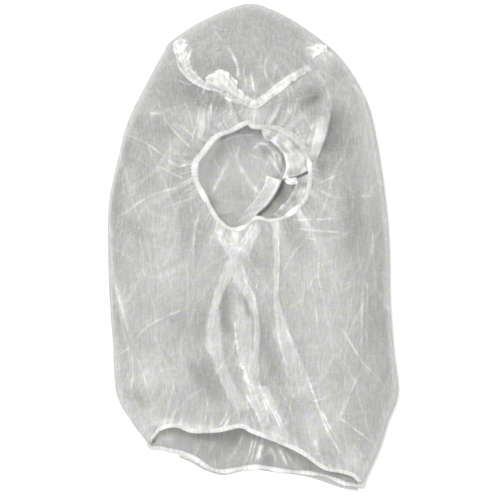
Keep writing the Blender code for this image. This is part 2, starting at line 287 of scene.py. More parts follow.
print("points round the outline:", len(SIDE_OUTLINE["up"]), "and round the face:", len(FACE_RING["up"]))

# %% Curves through the tables
SIDE_COLUMNS, HEM_COLUMNS = 342, 114
COLUMNS = SIDE_COLUMNS + HEM_COLUMNS
face_centre = place(*FACE_CENTRE)
face_plan = face_centre + np.column_stack([FACE_RING["across"], FACE_RING["up"]]) * FACE_SIZE / 2
face_ring = through(np.column_stack([face_plan, FACE_RING["lift"] * LOFT]), closed=True)
seam_plan = through(place(FOREHEAD_SEAM["across"], FOREHEAD_SEAM["up"]))
outline = spaced(through(place(SIDE_OUTLINE["across"], SIDE_OUTLINE["up"])), SIDE_COLUMNS)
outline_along = unit(np.gradient(outline, axis=0))
outline_out = np.stack([-outline_along[:, 1], outline_along[:, 0]], axis=-1)
fold_line = outline - outline_out * SIDE_FOLD / 2


def hem_edge(plan, height):
    """One layer's edge at the neck, from the right corner of the side fold to the left one."""
    ends = np.column_stack([fold_line[[-1, 0]], height[[0, -1]]])
    edge = through(np.vstack([ends[:1], np.column_stack([plan, height]), ends[1:]]))
    return spaced(edge, HEM_COLUMNS + 2)[1:-1]


upper_hem = hem_edge(place(UPPER_HEM["across"], UPPER_HEM["up"]), UPPER_HEM["lift"] * NECK_LIFT)
lower_plan = place(LOWER_HEM["across"], LOWER_HEM["up"])
lower_hem = hem_edge(lower_plan, np.full(len(lower_plan), NECK_BEAD / 2))
print("side fold", len(outline), "columns, neck", len(upper_hem), "columns")


# %% [markdown]
# ## Irregular cloth from repeatable chance
# Crumpled cloth looks random, but each run has to give the same hood, so every random draw has its own
# seed. Three small functions are enough: ripples along a line for gathers, a soft cloud for slow
# changes, and creases for cloth that was folded and pressed in its packet. `nearest` measures how far a
# line is.

# %% Ripples, clouds and creases
def ripples(turn, fewest, most, seed):
    """Waves along a line: cosines with fewest to most waves from turn 0 to turn 1. Their spread is 1."""
    chance = np.random.default_rng(seed)
    total = np.zeros(np.shape(turn))
    power = 0.0
    for waves in range(fewest, most + 1):
        size, phase = chance.normal(), chance.uniform()
        total += size * np.cos(2 * math.pi * (waves * turn + phase))
        power += size * size / 2
    return total / math.sqrt(power)


def cloud(xy, size, seed, waves=18):
    """Soft hills about size across: plane waves in random directions, at a spread of about one."""
    chance = np.random.default_rng(seed)
    total = np.zeros(xy.shape[:-1])
    for _ in range(waves):
        angle, phase = chance.uniform(0, 2 * math.pi, 2)
        length = 2 * size * chance.uniform(0.7, 1.5)
        along = xy[..., 0] * math.cos(angle) + xy[..., 1] * math.sin(angle)
        total += np.cos(2 * math.pi * along / length + phase)
    return total / math.sqrt(waves / 2)


def creases(xy, size, seed, count=7, slope=0.06, line=0.9 * MM):
    """Pressed creases: saw-tooth waves in random directions, bent and faded by clouds.

    Each wave climbs and falls at the slope, so it is straight between its sharp crests, as folded
    paper is. Gives the height and the paleness."""
    chance = np.random.default_rng(seed)
    height, pale = np.zeros(xy.shape[:-1]), np.zeros(xy.shape[:-1])
    for number in range(count):
        angle = chance.uniform(0, math.pi)
        length = size * chance.uniform(0.8, 2.0)
        along = (xy[..., 0] * math.cos(angle) + xy[..., 1] * math.sin(angle)) / length
        along += 0.3 * cloud(xy, 2.5 * size, seed + 40 + number, 8) + chance.uniform()
        saw = np.abs(along % 1.0 - 0.5) * 2
        shown = smooth_step(cloud(xy, 1.6 * size, seed + 80 + number, 8) - 0.1)
        height += shown * (saw - 0.5) * length * slope
        to_crest = np.minimum(saw, 1 - saw) * length / 2
        pale = np.maximum(pale, shown * bell(to_crest, line))
    return height, pale


waves = ripples(np.arange(400) / 400, 16, 40, seed=4)
print("one ripple goes from", waves.min(), "to", waves.max(), "with a spread of", waves.std())


# %% The nearest point of a line
def nearest(line, xy):
    """Distance from xy to a line of stretches, its side, +1 on the left, and the share along it."""
    away = np.full(xy.shape[:-1], np.inf)
    side, share = np.zeros(xy.shape[:-1]), np.zeros(xy.shape[:-1])
    stretches = np.diff(line, axis=0)
    lengths = np.linalg.norm(stretches, axis=1)
    begun = np.concatenate([[0.0], np.cumsum(lengths)])
    for start, stretch, length, before in zip(line, stretches, lengths, begun):
        offset = xy - start
        along = np.clip(offset @ stretch / length**2, 0.0, 1.0)
        foot = offset - along[..., None] * stretch
        distance = np.hypot(foot[..., 0], foot[..., 1])
        closer = distance < away
        turned = stretch[0] * offset[..., 1] - stretch[1] * offset[..., 0]
        away = np.where(closer, distance, away)
        side = np.where(closer, np.sign(turned), side)
        share = np.where(closer, (before + along * length) / begun[-1], share)
    return away, side, share


along_x = np.array([[-1, 0], [1, 0]])
print("from (0, 1) to a line along x: away, side, share", nearest(along_x, np.array([0, 1])))


# %% [markdown]
# ## The chart of folds
# The gathers pull long folds through the cloth, and the packet has pressed creases into it. Each row of
# a chart is one fold through three points in millimetres. `rise` is its height, `spread` its half width
# and `lean` the side that it falls off more gently. `pale` is how much whiter it is over the half width
# `band`, mostly because more fibre lies there; the wide pale rows of the lower layer inside the hems are
# painted light that lifts the hems' shade. A row with a negative rise is a valley. A row with negative
# paleness is darker: some are thin places, and some painted shade, round the forehead seam, beside the
# tuck at the face, and on the lower layer under the face hem and beside the rolled fold.

# %% Folds below the chin
FOLD = "x0 y0 x1 y1 x2 y2 rise spread lean band pale"
# Lines along the strands below the chin
STRAND_LINES = table(FOLD, """
-10 -26 1 -46 3 -62 1.2 2 0 1.5 0.5
-18 -60 -16 -86 -12 -112 1.2 2 -0.3 1.3 0.6
-13 -108 -6 -126 5 -142 1.5 2.4 0 2.8 0.48
-10 -120 -4 -134 0 -146 1.5 2.4 0 2.2 0.36
0 -136 9 -158 23 -180 1 2 0 1.4 0.38
14 -146 26 -166 38 -190 1 2 0 1.4 0.36
-5 -146 -3 -160 4 -176 0.8 2 0 1.3 0.35
4 -120 7 -134 18 -152 1.2 2 0 1.6 0.38
-8 -140 3 -160 10 -176 1 2 0 1.5 0.5
6 -136 20 -160 30 -182 1.2 2 0 1.5 0.46
10 -146 15 -164 11 -180 1 2 0 1.5 0.5
7 -28 3 -44 4 -54 1 2 0 1.2 0.45
25 20 26 -20 24 -54 1 2 0 1.2 0.4
29 -70 38 -90 48 -114 1.4 2.4 0 1.3 0.35
48 -112 58 -138 70 -171 1.6 2.4 -0.3 1.3 0.5
62 -150 75 -182 95 -215 1.6 2.4 0.2 1.5 0.52
68 -158 72 -168 78 -180 1 2 0 1.8 0.4
66 -156 77 -178 89 -194 1 2 0 1.3 0.35
14 -50 22 -90 31 -122 0.8 2 0 1.2 0.2
""")
# Dark, thin places between the strands
THIN_PLACES = table(FOLD, """
-22 -34 -27 -62 -21 -92 -2 4 0 4.4 -0.46
-10 -50 -4 -60 1 -73 -1.5 3 0 3.8 -0.36
9 -60 16 -100 32 -150 -2 6 0 7.5 -0.17
-46 -104 -44 -128 -34 -152 -1.5 8 0 11 -0.24
-14 6 -14 -2 -15 -8 0.5 3 0 4 0.2
""")
# Short tufts that stand above the upper neck hem
HEM_TUFTS = table(FOLD, """
-24 -160 -28 -168 -33 -176 1 1.6 0 1.2 0.7
-20 -163 -24 -170 -29 -177 1 1.6 0 1.1 0.65
-14 -152 -13 -164 -14 -174 1 2 0 1.3 0.35
-43 -148 -45 -162 -47 -176 1 2 0 1.2 0.45
""")
print("folds below the chin:", len(stacked(STRAND_LINES, THIN_PLACES, HEM_TUFTS)["rise"]))

# %% Soft changes of tone
# The dark bands round the forehead seam are painted shade of its gathers; the other bands change the tone
# slowly over parts of the cloth.
SOFT_TONES = table(FOLD, """
-101 135 -71 155 -36 146 0.5 18 0 18 -0.34
14 130 32 141 52 148 0 9 0 9 -0.26
44 136 56 147 70 160 0 9 0 9 -0.32
-64 184 -45 178 -24 180 0 9 0 9 -0.24
-8 166 -2 158 4 148 0 6 0 8 0.17
-64 140 -40 144 -22 138 0 8 0 8 -0.24
48 158 58 150 66 140 0 6 0 6 -0.2
-118 118 -104 122 -92 112 0 9 0 9 -0.14
-6 2 6 -14 12 -30 0 8 0 8 -0.14
-50 -48 -48 -70 -50 -92 0 6 0 7 -0.2
-50 -128 -38 -140 -26 -154 0 7 0 8 -0.18
-19 22 -17 12 -16 2 0 5 0 6 0.4
-106 96 -104 72 -102 46 0 10 0 10 -0.18
-126 118 -135 70 -137 6 0 8 0 8 -0.2
-138 -12 -137 -56 -128 -104 0 6 0 6 -0.22
-100 -92 -90 -116 -72 -146 0 16 0 17 0.12
-90 -54 -68 -74 -42 -96 0 12 0 12 -0.12
-112 -156 -98 -168 -80 -178 0 9 0 9 0.24
-84 -172 -56 -178 -34 -176 0 5 0 5 0.26
10 -172 24 -184 36 -192 0 6 0 7 0.26
50 -156 58 -178 64 -200 0 9 0 9 0.22
86 -192 98 -208 106 -224 0 9 0 9 0.26
50 202 64 193 84 184 0 8 0 8 0.22
-122 130 -102 110 -84 82 0.5 14 0 14 -0.16
-134 90 -137 20 -132 -50 0.5 10 0 9 -0.14
-82 40 -80 -10 -86 -70 0.5 12 0 14 0.12
90 172 114 110 119 20 0.5 12 0 12 0.2
44 208 64 194 86 172 0.5 8 0 9 0.18
98 76 98 30 98 -20 -0.5 9 0 9 -0.24
56 -124 76 -165 92 -208 0.5 16 0 17 0.18
-46 140 -30 142 -14 136 0 8 0 8 -0.3
-36 184 -14 173 10 172 0 8 0 9 -0.2
66 86 69 76 68 64 0 5 0 5 -0.28
50 142 58 134 64 124 0 6 0 6 -0.2
-98 122 -85 116 -72 106 0 8 0 8 -0.28
-128 112 -122 96 -118 76 0 8 0 8 -0.24
-126 30 -112 16 -98 2 0 9 0 9 -0.2
30 26 44 8 52 -14 0 8 0 8 -0.17
-64 -110 -52 -122 -40 -134 0 8 0 8 -0.18
""")
print("soft changes of tone:", len(SOFT_TONES["rise"]))

# %% Creases of the left side
LEFT_CREASES = table(FOLD, """
-102 131 -95 131 -88 131 1.2 3 0 2 0.5
-89 131 -76 113 -54 91 1.5 3 0.4 1.5 0.45
-90 131 -78 136 -62 140 1 3 0 1.4 0.3
-92 170 -92 150 -90 132 1 3 0 1.2 0.3
-125 112 -104 102 -82 86 1.6 3 0.3 1.5 0.4
-84 86 -72 79 -60 82 1.6 2.4 0 1.6 0.55
-94 81 -80 73 -62 65 1.4 2.6 0.3 1.5 0.5
-132 28 -98 51 -60 60 1.6 3.5 0.3 1.6 0.4
-87 38 -70 44 -54 49 1.2 2.4 0 1.3 0.28
-74 86 -65 84 -56 85 0.8 2 0 1.2 0.4
-72 93 -62 89 -54 87 0.8 2 0 1.1 0.3
-71 79 -64 81 -56 82 0.8 2 0 1.1 0.45
-73 71 -64 73 -57 76 0.8 2 0 1.1 0.35
-71 61 -63 65 -57 70 0.8 2 0 1.1 0.35
-67 55 -60 57 -54 62 0.8 2 0 1.1 0.4
-41 153 -45 140 -48 124 1 2.4 0 1.4 0.2
-29 151 -24 141 -17 136 0.8 2 0 1.2 0.28
-76 164 -66 162 -58 158 0.8 2 0 1.2 0.25
-50 38 -55 22 -57 2 1.4 2.6 0.2 1.4 0.45
-57 16 -57 -6 -58 -22 1.2 2.6 0 1.3 0.3
-138 34 -137 -26 -119 -94 2.2 5 0.4 1.8 0.27
-135 -32 -126 -66 -118 -95 1.2 3 0 1.6 0.26
-137 -22 -131 -50 -122 -78 0.5 4 0 4.5 0.26
-118 -97 -110 -116 -101 -142 0.8 2.6 0 1.4 0.25
-106 -100 -104 -126 -98 -152 0.5 10 0 12 0.15
-119 -96 -100 -76 -58 -56 1.8 4 -0.3 1.8 0.28
-131 -106 -124 -101 -118 -97 1.2 3 0 1.4 0.28
-119 -98 -117 -122 -120 -150 1.5 3.5 0.2 1.6 0.45
-124 -152 -100 -156 -78 -156 1 5 0 5 0.1
-118 -144 -108 -152 -100 -158 -1 5 0 5 -0.22
-112 120 -84 60 -70 20 1 3 0 1.4 0.18
-122 60 -104 10 -96 -40 1 3 0 1.4 0.18
-96 30 -92 -20 -74 -60 1 3 0 1.4 0.16
-110 -60 -86 -110 -70 -160 1 3 0 1.4 0.18
-84 -70 -76 -120 -84 -170 1 3 0 1.4 0.16
""")
print("creases of the left side:", len(LEFT_CREASES["rise"]))

# %% Tuck beside the face and creases of the right side
# Tuck at the right of the face, pale on its left. On its right the cloth drops into shade, which the dark
# rows deepen as painted shade, and the dark valley above the tuck carries a painted shadow of a fold line.
FACE_TUCK = table(FOLD, """
76 138 73 114 60 80 6 5 -0.72 1.6 0.5
67 130 63 108 57 88 2 9 0.3 6 0.46
58 180 72 158 78 134 2 5 -0.4 2.5 0.22
82 148 74 112 60 72 -2 6 0.8 6.5 -0.6
46 139 59 143 71 154 -1.5 4 0 4.6 -0.4
88 140 88 104 78 70 -1 12 0 14 -0.2
""")
# Creases of the right side
RIGHT_CREASES = table(FOLD, """
34 158 36 140 32 120 1.4 3 0 1.5 0.35
37 142 51 147 67 150 1.2 3 0 1.4 0.34
61 61 78 68 92 75 1.4 2.6 0 1.5 0.4
60 59 76 50 90 47 1.4 2.6 0 1.5 0.4
88 47 108 50 128 50 1.6 4 0 1.8 0.25
32 27 56 27 86 28 1.5 2.4 0 1.4 0.42
40 19 65 16 92 14 1.5 2.6 0 1.4 0.42
44 13 58 8 66 7 1 2 0 1.2 0.3
92 17 98 13 104 9 1.2 2.6 0 1.3 0.35
118 24 117 -4 110 -27 1.6 4 0.2 1.8 0.45
109 -24 107 -70 107 -116 2 5 0.4 1.6 0.36
113 -28 112 -70 112 -106 0.5 2.5 0 1.4 0.22
85 -76 96 -93 107 -113 1.6 3 0.2 1.5 0.48
105 -110 118 -123 132 -139 1.2 3 0.2 1.4 0.4
106 -119 98 -138 86 -168 1.5 3.5 0 1.5 0.35
79 -162 99 -177 122 -195 1.5 3 0 1.5 0.45
56 -151 66 -149 76 -144 1 2.5 0 1.4 0.3
60 -186 63 -196 66 -206 1.2 3.5 0 3.5 0.55
84 -46 92 -40 102 -34 1 3 0 1.5 0.22
52 -10 62 -60 66 -110 0.8 3 0 1.4 0.18
62 40 68 -60 74 -160 0.5 20 0 24 0.12
74 -4 84 -50 88 -84 0.8 3 0 1.4 0.16
96 -190 110 -206 118 -196 0.8 3 0 1.4 0.25
122 -30 124 -70 118 -112 -0.8 12 0 12 -0.06
""")
print("of the right side:", len(FACE_TUCK["rise"]) + len(RIGHT_CREASES["rise"]))

# %% Folds round the forehead seam
# Gathers that stand above the forehead seam
SEAM_GATHERS = table(FOLD, """
-27 199 -16 182 -12 160 2.2 2.6 0.3 2 0.6
-20 188 -15 176 -15 160 1.4 2.2 0 1.4 0.35
-8 180 -8 170 -5 156 1.2 2 0 1.4 0.35
-1 176 0 164 3 148 1.6 2 0 1.8 0.55
17 190 12 178 15 160 1.4 2.2 0 1.6 0.4
-43 224 -36 212 -26 198 1 3 0 1.6 0.2
-39 219 -37 217 -34 215 0.8 2 0 1.8 0.35
26 182 22 172 20 160 1.2 2 0 1.4 0.25
-62 176 -56 171 -46 168 1 2 0 1.4 0.45
""")
# Caught cloth at both ends of the seam, which ends in a star of short streaks on the right
SEAM_ENDS = table(FOLD, """
58 186 63 190 68 195 1 2 0 1.5 0.6
66 196 73 193 80 187 1 2 0 1.4 0.55
64 199 62 193 59 183 1 2 0 1.2 0.4
52 196 59 196 66 194 1 2 0 1.4 0.45
-80 200 -71 204 -62 201 1.5 2.4 0 2.2 0.85
-63 201 -61 192 -64 183 1.5 2.4 0 2 0.8
-79 198 -75 189 -68 180 1 2.4 0 1.6 0.5
57 194 65 198 72 196 1.5 3 0 3 0.85
60 189 70 194 80 190 1.5 3 0 2.4 0.7
62 202 67 196 70 188 1 2.4 0 2.2 0.5
""")
# Folds between the seam and the face opening
BROW_FOLDS = table(FOLD, """
-32 155 -40 139 -43 124 1.6 2.6 0 1.8 0.35
-28 151 -20 138 -24 124 1.6 2.6 0 1.6 0.35
-8 136 -16 130 -26 124 1.2 2.4 0 1.4 0.3
-52 138 -49 120 -53 98 1.6 4 0 4.2 0.4
-45 134 -42 122 -44 108 1 2.4 0 1.5 0.35
-61 136 -59 140 -57 144 1 2 0 1.3 0.4
-70 146 -62 134 -56 110 1 2.4 0 1.4 0.25
-52 158 -44 146 -36 136 1.2 3 0 1.5 0.25
-8 134 2 131 14 128 0.8 6 0 6 0.2
46 130 54 124 60 108 1.2 2.4 0 1.5 0.3
-41 146 -40 134 -41 122 0.8 2 0 1.1 0.38
-47 138 -47 120 -50 104 0.8 2 0 1.1 0.4
-31 150 -35 137 -40 120 0.8 2 0 1.1 0.32
-58 136 -54 147 -49 153 0.8 2 0 1.1 0.3
-74 165 -64 160 -54 158 0.8 2 0 1.1 0.3
-36 114 -26 126 -15 134 0.8 2 0 1.1 0.34
-40 122 -30 130 -22 138 0.8 2 0 1.1 0.28
-55 118 -58 106 -57 94 0.8 2 0 1.1 0.3
-50 96 -60 110 -72 122 0.8 2 0 1.1 0.26
37 122 44 114 50 102 0.8 2 0 1.1 0.36
55 118 51 108 49 104 0.8 2 0 1.1 0.32
60 124 57 112 53 98 0.8 2 0 1.1 0.36
64 120 61 106 57 92 0.8 2 0 1.1 0.3
28 144 24 132 18 122 0.8 2 0 1.1 0.28
44 150 42 136 38 122 0.8 2 0 1.1 0.26
""")
UPPER_FOLDS = stacked(
    STRAND_LINES, THIN_PLACES, HEM_TUFTS, SOFT_TONES, LEFT_CREASES,
    FACE_TUCK, RIGHT_CREASES, SEAM_GATHERS, SEAM_ENDS, BROW_FOLDS,
)
print("folds of the upper layer:", len(UPPER_FOLDS["rise"]))

# %% [markdown]
# Some folds are strands: flat strips of cloth doubled over, as wide as a finger. They cross below the
# chin, and the last three are the seam's own allowance. A strand is paler all over than the single
# cloth and palest along its two edges. Its rows give points of the middle line with the width there.

# %% Strands of doubled cloth
STRAND_ROWS = {
    "from the left of the face": """
-34 22 9 0.67 2.5
-27 8 10 0.56 3
-20 -5 12 0.49 3
-14 -20 15 0.41 3
-9 -34 15 0.36 3
-3 -48 12 0.36 2.5
1 -58 9 0.6 2.5
4 -70 7 0.6 2.5
5 -84 6 0.6 2
4 -100 7 0.6 2
3 -116 8 0.6 2
5 -130 9 0.52 2
""",
    "from the right of the face": """
5 24 12 0.52 2
-1 12 13 0.62 3
-8 -2 14 0.44 3
-17 -14 14 0.44 3
-25 -27 12 0.39 3
-31 -41 10 0.36 2.5
-34 -51 9 0.48 2.5
-37 -62 8 0.42 2
""",
    "left, below the crossing": """
-36 -56 8 0.37 1.5
-37 -73 14 0.46 2.5
-38 -87 17 0.54 3
-36 -100 16 0.48 3
-33 -112 12 0.39 2.5
-28 -124 11 0.33 2.5
-22 -136 12 0.35 2
-15 -150 14 0.31 2
-8 -164 14 0.2 1
""",
    "middle, below the crossing": """
-8 -50 17 0.26 1
-8 -60 20 0.35 2
-6 -73 23 0.37 3
-6 -87 23 0.33 3
-5 -100 21 0.35 3
-5 -114 17 0.46 3
-2 -127 18 0.6 3
5 -141 22 0.57 3
13 -155 23 0.48 3
22 -168 21 0.42 2.5
29 -182 19 0.28 1
""",
    "inner, above the neck": """
-8 -124 9 0.41 1.5
-2 -139 12 0.54 2
4 -151 14 0.49 2
10 -163 15 0.41 2
15 -176 13 0.27 1
""",
    "right of the chin": """
23 26 8 0.39 2
24 -12 7 0.39 2
23 -46 6 0.39 2
25 -60 8 0.37 2
28 -73 12 0.4 2.5
31 -87 16 0.5 3
36 -100 18 0.4 3
40 -114 19 0.33 3
45 -128 21 0.26 2
50 -141 23 0.18 1.5
56 -158 23 0.11 1
""",
    "seam, left arm": """
-71 197 8 0.66 1.5
-68 189 10 0.7 2
-65.5 181 10 0.74 2
-62 171 9 0.86 2
-53.5 163 8 1 2
-42 157 8 0.92 2
-34 157 11 0.95 2
-26 153 13 0.95 2
-15 147 12 0.95 2
-4 143 8 0.86 1.5
5 139 5 0.8 1
""",
    "seam, right arm": """
3 140 7 0.8 1.5
14 148 6 0.94 2
24 156 7 1.1 2.5
34 163 7 1.06 2.5
43 169 6 0.74 2
52 174 8 0.44 1.5
62 178 7 0.18 0.5
""",
    "seam, round the arch": """
-45 161 5 0.33 1
-39 167 7 0.55 2.5
-31 169 9 0.62 3
-24 166 9 0.62 3
-19 159 7 0.51 2
-11 150 5 0.33 1
""",
}
STRANDS = {name: table("x y wide pale rise", rows) for name, rows in STRAND_ROWS.items()}
print("strands of doubled cloth:", len(STRANDS))

# %% Lines and channels
CHANNELS = 6  # of crests
STRAND_CHANNELS = 5
WIDE_BAND = 3.6  # mm, from here on the mesh is fine enough to carry a band
CREST_REACH = 14 * MM  # how far from its line a narrow crest is stored
FOLD_ENDS, STRAND_ENDS = 0.3, 0.06  # shares of a fold and of a strand over which each end fades
STRAND_REACH = 2.6  # half widths, how far from its middle a strand is stored


def fold_lines(chart):
    """Each fold of a chart as a smooth line in metres."""
    corners = np.stack([chart[name] for name in FOLD.split()[:6]], axis=-1) * MM
    return [through(row.reshape(3, 2), steps=6) for row in corners]


def share_out(lines, count):
    """One of count channels for each line, so that the lines of a channel lie far apart."""
    channels = []
    for line in lines:
        room = np.full(count, 1.0)
        for earlier, channel in enumerate(channels):
            apart = np.linalg.norm(line[:, None] - lines[earlier][None], axis=-1).min()
            room[channel] = min(room[channel], apart)
        channels.append(int(np.argmax(room)))
    return channels


def keep_nearest(closest, stored, away, values):
    """Where away is less than the closest so far, the values take the place of the stored ones."""
    nearer = away < closest
    closest[nearer] = away[nearer]
    stored[nearer] = values[nearer]


upper_channels = share_out(fold_lines(UPPER_FOLDS), CHANNELS)
print("folds in each channel:", np.bincount(upper_channels))


# %% Heights and crests of a chart
def charted(xy, chart):
    """Heights and wide pale bands of a chart at xy, and its narrow crests.

    A fold's height is rise * exp(-(distance / spread) ^ 1.3), which has a crisp crest, and a wide
    band's paleness is pale * exp(-(distance / band) ^ 2). A narrow crest is finer than the mesh. So
    each channel of crests keeps the nearest fold's signed distance over its band, and its paleness,
    and the finish draws the same curve from them. Everything fades out towards either end."""
    height, pale = np.zeros(xy.shape[:-1]), np.zeros(xy.shape[:-1])
    crests = np.zeros((CHANNELS, *xy.shape[:-1], 3))
    closest = np.full((CHANNELS, *xy.shape[:-1]), np.inf)
    lines = fold_lines(chart)
    shapes = zip(*(chart[name] for name in FOLD.split()[6:]))
    for line, channel, shape in zip(lines, share_out(lines, CHANNELS), shapes):
        rise, spread, lean, band, paleness = shape
        away, side, share = nearest(line, xy)
        ends = faded(share, FOLD_ENDS)
        uneven = 1 + lean * side
        height += rise * MM * ends * np.exp(-((away / (spread * MM * uneven)) ** 1.3))
        if band >= WIDE_BAND:
            pale += paleness * (np.sin(math.pi * share) * bell(away, band * MM * uneven))
            continue
        near = smooth_step((CREST_REACH - away) / (8 * MM))
        crest = np.stack([away * side / (band * MM), paleness * ends * near, share], axis=-1)
        keep_nearest(closest[channel], crests[channel], away, crest)
    return height, pale, crests


def stranded(xy, strands):
    """Height of the strands at xy, and for each channel the nearest one's place across and paleness.

    The place across is the signed distance over half the width, so it is -1 and 1 at the edges. The
    height is rise * exp(-across ^ 4), a flat strip with round edges."""
    height = np.zeros(xy.shape[:-1])
    strips = np.zeros((STRAND_CHANNELS, *xy.shape[:-1], 3))
    closest = np.full((STRAND_CHANNELS, *xy.shape[:-1]), np.inf)
    lines = [through(np.column_stack(list(rows.values())), steps=6) for rows in strands.values()]
    for line, channel in zip(lines, share_out([line[:, :2] for line in lines], STRAND_CHANNELS)):
        away, side, share = nearest(line[:, :2] * MM, xy)
        steps = np.linalg.norm(np.diff(line[:, :2], axis=0), axis=1)
        along = np.concatenate([[0.0], np.cumsum(steps)])
        wide, paleness, rise = (np.interp(share * along[-1], along, column) for column in line.T[2:])
        across = away * side / (wide * MM / 2)
        ends = faded(share, STRAND_ENDS)
        height += rise * MM * ends * np.exp(-(across**4))
        near = smooth_step(STRAND_REACH - np.abs(across))
        strip = np.stack([across, paleness * ends * near, share * along[-1] / 10], axis=-1)
        keep_nearest(closest[channel], strips[channel], away, strip)
    return height, strips


middle_line = np.column_stack([np.zeros(5), np.linspace(0, -0.2, 5)])
print("strands lift the middle by, in mm:", (stranded(middle_line, STRANDS)[0] / MM).round(2))


# %% [markdown]
# ## The upper layer
# This is the side that faces the eye: one sheet from the face elastic out to the side fold and the neck
# hem. It could be draped by a cloth simulation, but then no fold would lie where the real one has it.
# Instead the sheet is a grid: its columns run round the face, its rows from the elastic outwards, and a
# height is worked out for each point: a puffed bag, plus charted folds, gathers and pressed creases.

# %% Edge and grid of the upper layer
UPPER_ROWS, FOLD_ROWS, LOWER_ROWS = 98, 5, 52
HEM_ENDS = 14  # columns over which the neck's edge moves to the middle of its hem
CORNER_BLEND = 13  # columns over which the edge's height is a mean


def layer_edge(side_height, hem):
    """A layer's outer edge: the side fold at one height, then the neck, half a hem past its line."""
    column = np.arange(HEM_COLUMNS)
    inside = smooth_step(np.minimum(column, column[::-1]) / HEM_ENDS)[:, None]
    outwards = unit(hem[:, :2] - face_centre) * inside * NECK_BEAD / 2
    side = np.column_stack([fold_line, np.full(SIDE_COLUMNS, side_height)])
    return np.vstack([side, hem + np.column_stack([outwards, np.zeros(HEM_COLUMNS)])])


def soft_mean(values, reach):
    """Each value as a mean of its neighbours up to reach away, with bell-shaped weights."""
    window = np.hanning(2 * reach + 1)
    return np.convolve(np.pad(values, reach, mode="wrap"), window / window.sum(), mode="valid")


upper_edge = layer_edge(SIDE_FOLD, upper_hem)
lower_edge = layer_edge(0.0, lower_hem)
bearing = np.unwrap(np.arctan2(*(upper_edge[:, :2] - face_centre).T))
even = np.arange(COLUMNS) / COLUMNS * 2 * math.pi
even += np.mean(bearing - even)
upper_edge[:, 2] = soft_mean(upper_edge[:, 2], CORNER_BLEND)
ring_bearing = np.arctan2(*(face_ring[:, :2] - face_centre).T)
order = np.argsort(ring_bearing)
rim_bearing = (bearing + even) / 2
rim = np.column_stack([
    np.interp(rim_bearing, ring_bearing[order], axis[order], period=2 * math.pi) for axis in face_ring.T
])
row_share = np.linspace(0.0, 1.0, UPPER_ROWS)[:, None]
upper_plan = rim[:, :2] + (upper_edge - rim)[:, :2] * row_share[..., None]
reach = np.linalg.norm(upper_edge[:, :2] - rim[:, :2], axis=1)
print("upper layer", UPPER_ROWS, "rows by", COLUMNS, "columns, up to", round(reach.max() / MM), "mm long")


# %% The puffed bag
SEAM_DIP = 0.42  # share of the height that the seam takes away
SEAM_DIP_REACH = 13 * MM
EDGE_REACH = 8 * MM  # how far the edge's own height reaches inwards


def blurred(values, degrees=18):
    """A value of each column as a soft curve over its bearing: a mean over some degrees."""
    turn = np.degrees(bearing) % 360
    first = np.argsort(turn)
    even_turn = np.arange(720) / 2
    soft = soft_mean(np.interp(even_turn, turn[first], values[first], period=360), degrees)
    return np.interp(turn, even_turn, soft, period=360)


def bag_height(xy, share):
    """A puffed bag: up from the elastic to the puff's height, then down to the edge as a parabola.

    Near the corners of the neck the edge comes inwards at once, so both steps use a soft edge, and
    exp(-(distance / EDGE_REACH) ^ 2) leads from there to the edge itself."""
    puff = np.interp(np.degrees(bearing) % 360, PUFF["bearing"], PUFF["share"]) * LOFT
    along = np.clip(share * reach / blurred(reach), 0.0, 1.0)
    height = rim[:, 2] + (puff - rim[:, 2]) * smooth_step(along / 0.32)
    fall = np.clip((along - 0.25) / 0.75, 0.0, 1.0) ** 2
    height = height + (blurred(upper_edge[:, 2]) - height) * fall
    dip = faded(share, 0.12, 0.16) * SEAM_DIP * bell(nearest(seam_plan, xy)[0], SEAM_DIP_REACH)
    height = height - dip * (height - SIDE_FOLD)
    return height + (upper_edge[:, 2] - height[-1]) * bell((1 - share) * reach, EDGE_REACH)


height = bag_height(upper_plan, row_share)
print("the bag puffs up to", height.max(), "m")


# %% Gathers of the elastics and of the seam
RING_GATHERS = (  # fewest and most ripples round the face, their seed, reach and rise
    (60, 120, 3, 8 * MM, 0.5 * MM),
    (16, 40, 4, 26 * MM, 1.0 * MM),
)
HEM_REACH = 13 * MM
ABOVE_SEAM, BELOW_SEAM = 16 * MM, 9 * MM  # how far the seam's gathers reach on either side of it


def gathers(xy):
    """Ripples that the elastics and the seam pull into the cloth, each dying away from its thread."""
    height = pale = 0.0
    from_ring = np.linalg.norm(xy - rim[:, :2], axis=-1)
    for fewest, most, seed, reach_in, rise in RING_GATHERS:
        wave = ripples(bearing / (2 * math.pi), fewest, most, seed) * np.exp(-from_ring / reach_in)
        height = height + rise * wave
        pale = pale + 0.16 * np.clip(wave, 0, 2)

    from_hem = np.linalg.norm(xy - upper_edge[:, :2], axis=-1)
    along_hem = (np.arange(COLUMNS) - SIDE_COLUMNS) / HEM_COLUMNS
    at_hem = faded(along_hem, 0.12) * np.exp(-from_hem / HEM_REACH)
    hem_wave = ripples(along_hem, 12, 30, seed=5)
    height += 0.8 * MM * hem_wave * at_hem
    pale += 0.22 * np.clip(hem_wave, 0, 2) * at_hem

    away, side, along_seam = nearest(seam_plan, xy)
    near_seam = np.exp(-away / np.where(side > 0, ABOVE_SEAM, BELOW_SEAM)) * faded(along_seam, 0.05)
    seam_wave = ripples(along_seam, 14, 42, seed=6)
    fine_wave = ripples(along_seam + 0.02 * away / MM / 20, 40, 90, seed=7)
    height += 0.6 * MM * seam_wave * near_seam
    pale += 0.14 * np.clip(seam_wave, 0, 2) * near_seam
    pale += 0.05 * np.clip(fine_wave, -1, 2) * near_seam**1.5
    return height, pale


gather_height, gather_pale = gathers(upper_plan)
print("gathers from", gather_height.min(), "to", gather_height.max(), "m")

